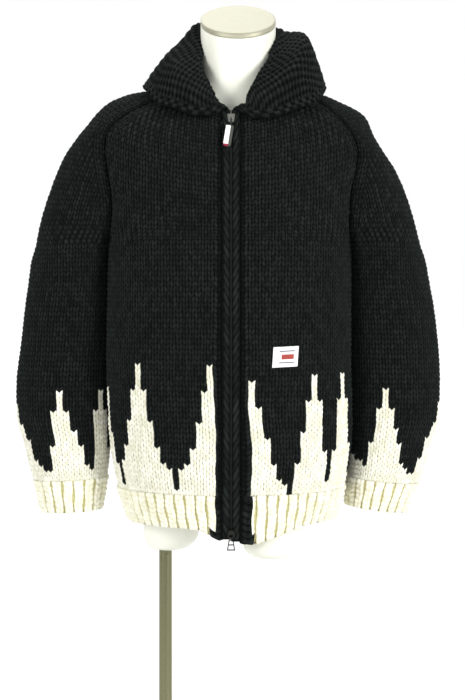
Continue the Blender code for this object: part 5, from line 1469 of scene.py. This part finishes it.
def zip_chain(name):
    """The tape's section carried up the front, and one small wedge for each tooth, all in one mesh."""
    heights = np.linspace(ZIP_BOTTOM, ZIP_TOP, 120)
    (half, front), back = RIDGE, BAND_THICK - BAND_PROUD + 2 * CONTACT
    section = np.array([(-half, -front), (half, -front), (half, -back), (TAPE_HALF, -back),
                        (TAPE_HALF, -back - TAPE_THICK), (-TAPE_HALF, -back - TAPE_THICK),
                        (-TAPE_HALF, -back), (-half, -back)])
    rings = strip_normal(heights)[:, None] * section[None, :, 1:2]
    rings[..., 0] += CENTRE_X + section[None, :, 0]
    rings[..., 1] += front_line(heights)[:, None]
    rings[..., 2] += heights[:, None]
    rows, columns = rings.shape[:2]
    caps = np.array([(0, 1, 2, 7), (7, 2, 3, 6), (6, 3, 4, 5)])
    caps = np.concatenate([caps[:, ::-1], caps + (rows - 1) * columns])
    strip = outward(rings.reshape(-1, 3), np.concatenate([tube_quads(rows, columns), caps]))
    count = int((ZIP_TOP - ZIP_BOTTOM - CHAIN_ENDS[1]) / TOOTH_PITCH)
    centres = ZIP_BOTTOM + CHAIN_ENDS[0] + TOOTH_PITCH * np.arange(count)
    out = front_normal(centres)
    block = np.array([(x, y, z) for y in TOOTH_DEPTHS for z in (-0.42, 0.42) for x in (-1, 1)])
    way = np.where(np.arange(count) % 2 == 0, 1.0, -1.0)
    teeth = np.zeros((count, 8, 3))
    teeth[..., 0] = CENTRE_X + way[:, None] * TOOTH_SHIFT + block[None, :, 0] * np.repeat(TOOTH_HALVES, 4)
    teeth[..., 1] = front_line(centres)[:, None] + out[:, 1:2] * block[None, :, 1]
    teeth[..., 2] = centres[:, None] + block[None, :, 2] * TOOTH_PITCH * 0.9 + out[:, 2:3] * block[None, :, 1]
    faces = outward(teeth[0], np.array([(0, 1, 3, 2), (4, 6, 7, 5), (0, 4, 5, 1), (2, 3, 7, 6), (0, 2, 6, 4),
                                        (1, 5, 7, 3)]))
    tooth_quads = (rows * columns + 8 * np.arange(count)[:, None, None] + faces[None]).reshape(-1, 4)
    dye = np.concatenate([np.zeros(len(strip)), np.ones(len(tooth_quads))])
    piece = fill_mesh(name, np.concatenate([rings.reshape(-1, 3), teeth.reshape(-1, 3)]),
                      np.concatenate([strip, tooth_quads]), [], [TAPE_CLOTH, TOOTH_PLASTIC], None, dye)
    piece.data.set_sharp_from_angle(angle=math.radians(40))
    print(count, "teeth")
    return piece


pieces["zip"] = zip_chain("zip_chain")

# %% [markdown]
# ## Label
# A small woven label lies flat on the front.  It is a thin sheet that follows the cloth under it,
# with plain stripes woven across it.

# %% Label
LABEL = (0.0855, 0.9345, 0.0410, 0.0330, 2.0)    # its middle's x and z, width, height, turn in degrees
LABEL_SKEW = 0.065       # part of its height by which the cloth under it pulls it askew
LABEL_FACE = 0.0032      # the label's face in front of the cloth's mean surface
LABEL_THICK = 0.0010


def label_material():
    """White tape weave by two fine waves, with plain woven stripes: two grey lines and a short red bar."""
    material, shader, add = plain_material("label_weave")
    place = add("ShaderNodeUVMap", {"uv_map": "stitches"}).outputs["UV"]
    across, up = add("ShaderNodeSeparateXYZ", None, {0: place}).outputs[:2]
    weave = maths(add, "MULTIPLY", *(maths(add, "SINE", maths(add, "MULTIPLY", axis, threads))
                                     for axis, threads in ((across, 420.0), (up, 340.0))))

    def within(axis, middle, half):
        """One where an axis is within half a width of a middle, and nought elsewhere."""
        return maths(add, "COMPARE", axis, middle, half)

    lines = maths(add, "ADD", within(up, 0.78, 0.03), within(up, 0.22, 0.03), clamp=True)
    lines = maths(add, "MULTIPLY", lines, within(across, 0.55, 0.30))
    red_bar = maths(add, "MULTIPLY", within(up, 0.50, 0.12), within(across, 0.58, 0.24))
    ground = mixed(add, maths(add, "MULTIPLY_ADD", weave, 0.5, 0.5), (0.80, 0.81, 0.81), (0.93, 0.93, 0.93))
    dyed = mixed(add, red_bar, mixed(add, lines, ground, (0.14, 0.14, 0.17)), (0.34, 0.04, 0.03))
    dress(add, shader, {"Base Color": dyed, "Roughness": 0.75, "Sheen Weight": 0.2}, weave, 0.4, 0.0002)
    return material


def label(name):
    """A thin closed sheet over the left front, from its own grid of places in the label.

    y is the front's oval at the place's x and z, and the face stands in front of it, lower at its edges.
    """
    x0, z0, wide, tall, turn = LABEL
    turn = math.radians(turn)
    a, b = np.meshgrid(np.linspace(-0.5, 0.5, 41), np.linspace(-0.5, 0.5, 33))
    x = x0 + a * wide * math.cos(turn) + b * tall * LABEL_SKEW
    z = z0 + a * wide * math.sin(turn) + b * tall * math.cos(turn)
    sides = np.array(SIDE_ROWS + ((RAGLAN_LEFT[0][2], RAGLAN_RIGHT[0][0], RAGLAN_LEFT[0][0]),))
    half = np.interp(z, sides[:, 0], sides[:, 2])
    y = profile(FRONT_PROFILE, z) * np.sqrt(1 - ((x - CENTRE_X) / (half - CENTRE_X)) ** 2)
    points = np.stack([x, y, z], -1)
    normal = unit(np.stack([x * 0.35, y, 0 * x], -1))
    edge = np.minimum(0.5 - np.abs(a), 0.5 - np.abs(b))
    lift = LABEL_FACE - 0.0007 * np.exp(-edge / 0.03) + 0.0003 * np.sin(9 * a + 4 * b)
    face = points + normal * lift[..., None]
    uv = pair(a + 0.5, b + 0.5)
    return fill_mesh(name, *slab(face, face - normal * LABEL_THICK), [], [label_material()],
                     np.concatenate([uv, uv]))


pieces["label"] = label("woven_label")
print("label", LABEL[2], "by", LABEL[3], "m")

# %% [markdown]
# ## Form and stand
# The form is a smooth moulded torso with two short thigh ends and a slanted spun-metal neck cap, on
# a steel pole with a socket and a round plate.  The torso is a loft through many rounded sections.

# %% Form tables
CAP_TILT = math.radians(30.0)
CAP_CENTRE_Z = 1.4990
CAP_THICK = 0.0090
CAP_GAP = 0.0003
# height, centre x, half-width, centre y, half-depth, squareness
TORSO_ROWS = (
    (0.7000, 0.0000, 0.1150, 0.0000, 0.0700, 2.2),
    (0.7300, 0.0000, 0.1500, 0.0000, 0.0860, 2.3),
    (0.7800, 0.0000, 0.1680, 0.0000, 0.0960, 2.3),
    (0.8500, 0.0000, 0.1700, 0.0000, 0.0980, 2.3),
    (0.9300, 0.0000, 0.1560, 0.0000, 0.0900, 2.2),
    (1.0200, 0.0000, 0.1460, 0.0000, 0.0860, 2.2),
    (1.1000, 0.0000, 0.1580, 0.0000, 0.0940, 2.2),
    (1.1800, 0.0000, 0.1740, 0.0000, 0.1040, 2.3),
    (1.2500, 0.0000, 0.1820, 0.0000, 0.1000, 2.3),
    (1.2950, 0.0010, 0.1760, 0.0040, 0.0860, 2.2),
    (1.3250, 0.0020, 0.1540, 0.0060, 0.0740, 2.1),
    (1.3500, 0.0050, 0.1180, 0.0080, 0.0640, 2.0),
    (1.3720, 0.0085, 0.0820, 0.0080, 0.0600, 2.0),
    (1.3950, 0.0105, 0.0660, 0.0070, 0.0620, 2.0),
    (1.4200, 0.0105, 0.0640, 0.0060, 0.0640, 2.0),
)
# thigh ends: height, centre x, centre y, radius
THIGH_RIGHT = (
    (0.5995, -0.1080, 0.0200, 0.0240), (0.6045, -0.1070, 0.0200, 0.0350), (0.6200, -0.1045, 0.0200, 0.0460),
    (0.6540, -0.1020, 0.0140, 0.0490), (0.7000, -0.0900, 0.0040, 0.0560), (0.7700, -0.0780, 0.0000, 0.0640),
)
THIGH_LEFT = (
    (0.5970, 0.0650, -0.0400, 0.0240), (0.6020, 0.0650, -0.0400, 0.0360), (0.6150, 0.0650, -0.0395, 0.0460),
    (0.6500, 0.0670, -0.0340, 0.0500), (0.7000, 0.0740, -0.0160, 0.0570), (0.7700, 0.0780, 0.0000, 0.0640),
)
FORM_SIDES = 96
THIGH_SIDES = 64
SHELL_CREASE = 50        # degrees between two faces from which an edge of the shell is drawn sharp
print("the torso has", len(TORSO_ROWS), "sections, each thigh end", len(THIGH_LEFT))

# %% [markdown]
# A loft joins rings of equal point count, and a flat fan of triangles closes each end.

# %% Lofts


def super_ring(x0, y0, a, b, z, power, sides):
    """A ring whose x and y are powers of a cosine and a sine: power 2 is an oval, more is squarer."""
    turn = np.linspace(0, 2 * math.pi, sides, endpoint=False)
    c, s = np.cos(turn), np.sin(turn)
    x = x0 + a * np.sign(c) * np.abs(c) ** (2 / power)
    y = y0 + b * np.sign(s) * np.abs(s) ** (2 / power)
    return np.stack([x, y, np.full(sides, z)], -1)


def tilted(y, base_z):
    """Height of the cap's slanted plane at a depth: base_z at the neck's middle."""
    return base_z + (y - NECK_Y) * math.tan(CAP_TILT)


def smooth_rings(rows, steps):
    """Section rings through a table read smoothly at even steps."""
    return spline(np.array(rows, float), np.linspace(0, len(rows) - 1, steps))


def loft(name, rings, materials, sharp=None):
    """A closed solid through rings of equal point count; flat fans close both ends."""
    rings = np.asarray(rings, float)
    rows, columns = rings.shape[:2]
    points = np.concatenate([rings.reshape(-1, 3), rings[[0, -1]].mean(axis=1)])
    around, top = np.arange(columns), (rows - 1) * columns
    beside = np.roll(around, -1)
    foot = np.stack([beside, around, np.full(columns, rows * columns)], -1)
    head = np.stack([top + around, top + beside, np.full(columns, rows * columns + 1)], -1)
    piece = fill_mesh(name, points, tube_quads(rows, columns), np.concatenate([foot, head]), materials)
    if sharp:
        piece.data.set_sharp_from_angle(angle=math.radians(sharp))
    return piece


print("a ring of the form has", FORM_SIDES, "points")

# %% [markdown]
# The thigh ends run into the torso at a slant.  An exact union cuts them to fit, as a moulder would
# blend two patterns, which no single loft could do.

# %% Form
FORM_SHELL = moulded("moulded_shell_white", (0.80, 0.81, 0.70), (0.86, 0.87, 0.77), 0.42, 14.0, bump=0.0001)


def form_torso(name):
    """The torso with its neck, joined to two thigh ends by an exact union."""
    rows = smooth_rings(TORSO_ROWS, 70)
    rings = [super_ring(x0, y0, a, b, z, p, FORM_SIDES) for z, x0, a, y0, b, p in rows]
    top = super_ring(NECK_X, NECK_Y, NECK_RADIUS, NECK_RADIUS, 0.0, 2.0, FORM_SIDES)
    top[:, 2] = tilted(top[:, 1], CAP_CENTRE_Z - CAP_THICK / 2 - CAP_GAP)
    body = loft(name, rings + [top], [FORM_SHELL], SHELL_CREASE)
    for number, table in enumerate((THIGH_RIGHT, THIGH_LEFT)):
        stub = loft(f"thigh_{number}", [super_ring(x, y, r, r, z, 2.0, THIGH_SIDES)
                                        for z, x, y, r in smooth_rings(table, 26)], [FORM_SHELL])
        union = body.modifiers.new("join_thigh", "BOOLEAN")
        union.operation = "UNION"
        union.solver = "EXACT"
        union.object = stub
        bpy.context.view_layer.update()
        joined = bpy.data.meshes.new_from_object(body.evaluated_get(bpy.context.evaluated_depsgraph_get()))
        body.modifiers.clear()
        body.data = joined
        bpy.data.objects.remove(stub)
    body.data.shade_smooth()
    body.data.set_sharp_from_angle(angle=math.radians(SHELL_CREASE))
    print("the form after both unions:", len(body.data.polygons), "faces")
    return body


pieces["form_torso"] = form_torso("shell_torso")

# %% [markdown]
# ## Turned metal
# The cap was spun and the tube and plate were turned on a lathe, which leaves fine rings round the
# axis.  Noise that reads only the distance from the axis and the height along it draws such rings.

# %% Turned metal


def local_axes(add, centre, turn):
    """Object coordinates counted from a centre along turned axes, as three sockets."""
    where = add("ShaderNodeTexCoord").outputs["Object"]
    local = add("ShaderNodeMapping", {"vector_type": "TEXTURE"},
                {"Vector": where, "Location": centre, "Rotation": turn})
    return add("ShaderNodeSeparateXYZ", None, {0: local.outputs[0]}).outputs


def turned_metal(name, colour, light, roughness, ring_scale, centre, tilt=0.0, bump=0.00006, metallic=1.0):
    """Metal with fine marks from turning: noise stretched round an axis through a centre."""
    material, shader, add = plain_material(name)
    x, y, z = local_axes(add, centre, (tilt, 0.0, 0.0))
    far = maths(add, "SQRT", maths(add, "ADD", *(maths(add, "POWER", axis, 2.0) for axis in (x, y))))
    marks = noise(add, add("ShaderNodeCombineXYZ", None, {0: far, 1: z}).outputs[0], ring_scale, 4.0, 0.65)
    dress(add, shader, {"Base Color": mixed(add, marks, colour, light), "Metallic": metallic,
                        "Roughness": maths(add, "MULTIPLY_ADD", marks, 0.25, roughness - 0.12)},
          marks, 0.6, bump)
    return material


CAP_METAL = turned_metal("spun_cap_metal", (0.30, 0.29, 0.21), (0.45, 0.44, 0.33), 0.50, 420.0,
                         (NECK_X, NECK_Y, CAP_CENTRE_Z), CAP_TILT, metallic=0.35)
STEEL = turned_metal("turned_steel", (0.17, 0.165, 0.09), (0.27, 0.265, 0.16), 0.26, 700.0, (0.0, 0.0, 0.0))
print("turned metals:", CAP_METAL.name, STEEL.name)

# %% [markdown]
# Turned pieces are lofts too: rings about one axis, with a quarter circle at each edge.

# %% Cap and stand
CAP_EDGE = 0.0022        # radius of the cap's rounded rims
POLE_X = -0.1140
POLE_Y = 0.0200
POLE_RADIUS = 0.0110
POLE_TOP = 0.5992
SOCKET_RADIUS = 0.0220
SOCKET_TOP = 0.0380
PLATE_RADIUS = 0.1900
PLATE_THICK = 0.0080


def turned(name, x0, y0, rows, material):
    """A round solid about an upright axis through (radius, height) rows."""
    return loft(name, [super_ring(x0, y0, r, r, z, 2.0, FORM_SIDES) for r, z in rows], [material], 30)


def rounded(radius, low, high, soft, steps=5):
    """Rows of a disc or tube whose edges at both ends are quarter circles."""
    turn = np.linspace(0, math.pi / 2, steps)
    foot = [(radius - soft * (1 - math.sin(t)), low + soft * (1 - math.cos(t))) for t in turn]
    head = [(radius - soft * (1 - math.cos(t)), high - soft * (1 - math.sin(t))) for t in turn]
    return foot + head


def neck_cap(name):
    """The cap: the rings of a rounded disc and a few on its top, each on a slanted plane."""
    top = [(NECK_RADIUS * part, 0.5 * CAP_THICK) for part in (0.93, 0.7, 0.4, 0.1)]
    rings = []
    for radius, rise in rounded(NECK_RADIUS, -0.5 * CAP_THICK, 0.5 * CAP_THICK, CAP_EDGE, 7) + top:
        ring = super_ring(NECK_X, NECK_Y, radius, radius, 0.0, 2.0, FORM_SIDES)
        ring[:, 2] = tilted(ring[:, 1], CAP_CENTRE_Z + rise)
        rings.append(ring)
    return loft(name, rings, [CAP_METAL], 40)


pieces["neck_cap"] = neck_cap("spun_neck_cap")
pieces["pole"] = turned("steel_pole", POLE_X, POLE_Y,
                        rounded(POLE_RADIUS, SOCKET_TOP + CONTACT, POLE_TOP, 0.0008), STEEL)
pieces["pole_socket"] = turned("steel_socket", POLE_X, POLE_Y,
                               rounded(SOCKET_RADIUS, PLATE_THICK + CONTACT, SOCKET_TOP, 0.003), STEEL)
pieces["base_plate"] = turned("steel_plate", 0.0, 0.0, rounded(PLATE_RADIUS, 0.0, PLATE_THICK, 0.002), STEEL)
print("plate", 2 * PLATE_RADIUS, "m across, pole up to", POLE_TOP)

# %% [markdown]
# ## Sliders and pulls
# Cast sliders and a bent-wire pull have softly rounded edges, and the upper pull is a moulded tab.
# Their solids already have the right shapes, so each is copied and its edges are bevelled.

# %% Sliders and pulls
BRIGHT_METAL = moulded("bright_nickel", (0.50, 0.50, 0.43), (0.72, 0.72, 0.64), 0.36, 500.0, 1.0)
DARK_METAL = moulded("dark_nickel", (0.016, 0.016, 0.015), (0.045, 0.045, 0.040), 0.36, 500.0, 1.0)
TAB_PLACE = (-0.0015, -0.1153, 1.3177)   # the tab's pin
TAB_LEAN = math.radians(8.0)
TAB_BODY = -0.0112       # the strips start this far under the pin
TAB_END = -0.0425        # and the red end here
EDGE_ANGLE = 35          # degrees between two faces from which an edge is rounded


def tab_material():
    """A dark moulded tab: a white strip on its left, a grey one beside it and a red lower left end."""
    material, shader, add = plain_material("tab_rubber")
    across, _, up = local_axes(add, TAB_PLACE, (0.0, TAB_LEAN, 0.0))
    colour = (0.012, 0.014, 0.016)
    for top, right, tint in ((TAB_BODY, 0.0120, (0.055, 0.058, 0.050)),
                             (TAB_BODY, 0.0012, (0.90, 0.91, 0.88)),
                             (TAB_END, 0.0014, (0.25, 0.012, 0.035))):
        inside = (maths(add, "LESS_THAN", axis, limit) for axis, limit in ((across, right), (up, top)))
        colour = mixed(add, maths(add, "MULTIPLY", *inside), colour, tint)
    grain = noise(add, add("ShaderNodeTexCoord").outputs["Object"], 900.0, 3.0)
    dress(add, shader, {"Base Color": colour, "Roughness": maths(add, "MULTIPLY_ADD", grain, 0.2, 0.42)},
          grain, 0.3, 0.0001)
    return material


def softened(name, node, width, material):
    """A copy of a small solid, in the garment's place, with its edges rounded."""
    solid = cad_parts[node]
    mesh = solid.data.copy()
    mesh.name = name
    mesh.transform(solid.matrix_world)
    mesh.materials.clear()
    mesh.materials.append(material)
    piece = bpy.data.objects.new(name, mesh)
    bpy.context.scene.collection.objects.link(piece)
    bevel = piece.modifiers.new("soft_edges", "BEVEL")
    bevel.width = width
    bevel.segments = 2
    bevel.limit_method = "ANGLE"
    bevel.angle_limit = math.radians(EDGE_ANGLE)
    print(name, len(mesh.polygons), "faces before its bevel")
    return piece


pieces["slider_top"] = softened("cast_slider_top", "slider_top", 0.0005, BRIGHT_METAL)
pieces["slider_bottom"] = softened("cast_slider_bottom", "slider_bottom", 0.0005, DARK_METAL)
pieces["pull_top"] = softened("moulded_pull_top", "pull_top", 0.0004, tab_material())
pieces["pull_bottom"] = softened("wire_pull_bottom", "pull_bottom", 0.0002, DARK_METAL)

# %% [markdown]
# ## Floor
# A wide pale floor runs out under and behind the stand.  It is matt near the stand, so that it takes
# the stand's shadow, and farther out it shines by itself as bright as the room, so no edge shows.

# %% Floor
floor_mesh = bpy.data.meshes.new("floor")
floor_mesh.from_pydata([(-30, -30, 0), (30, -30, 0), (30, 30, 0), (-30, 30, 0)], [], [(0, 1, 2, 3)])
floor = bpy.data.objects.new("floor", floor_mesh)
floor.location.z = -0.0005
bpy.context.scene.collection.objects.link(floor)
floor_material, floor_shader, floor_add = plain_material("pale_floor")
from_stand = floor_add("ShaderNodeVectorMath", {"operation": "LENGTH"},
                       {0: floor_add("ShaderNodeTexCoord").outputs["Object"]}).outputs["Value"]
fade_out = ramp(floor_add, from_stand, 0.4, 1.3)
feed(floor_shader, {"Base Color": mixed(floor_add, fade_out, (0.93, 0.93, 0.93), (0.0, 0.0, 0.0)),
                    "Emission Color": mixed(floor_add, fade_out, (0.0, 0.0, 0.0), (1.0, 1.0, 1.0)),
                    "Emission Strength": 1.0, "Roughness": 0.6})
floor_mesh.materials.append(floor_material)
print("floor", round(floor.location.z * 1000, 2), "mm under the plate")

# %% [markdown]
# ## What each piece is
# Every piece rides on its body and stands for its solid.

# %% Bodies
HELD = {
    "front_right": ("hung", ["form_torso"]), "front_left": ("hung", ["form_torso"]),
    "back": ("hung", ["form_torso"]), "sleeve_right": ("hung", ["back"]), "sleeve_left": ("hung", ["back"]),
    "collar": ("folded", ["form_torso"]), "band_right": ("hung", ["front_right"]),
    "band_left": ("hung", ["front_left"]), "hem_rib_right": ("stretched", ["front_right"]),
    "hem_rib_left": ("stretched", ["front_left"]), "hem_rib_back": ("stretched", ["back"]),
    "cuff_right": ("stretched", ["sleeve_right"]), "cuff_left": ("stretched", ["sleeve_left"]),
}
for node, piece in pieces.items():
    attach(piece, node if node.startswith("pull") else GARMENT)
    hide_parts(node)
for node, (held, rests) in HELD.items():
    if node.startswith("band"):
        continue
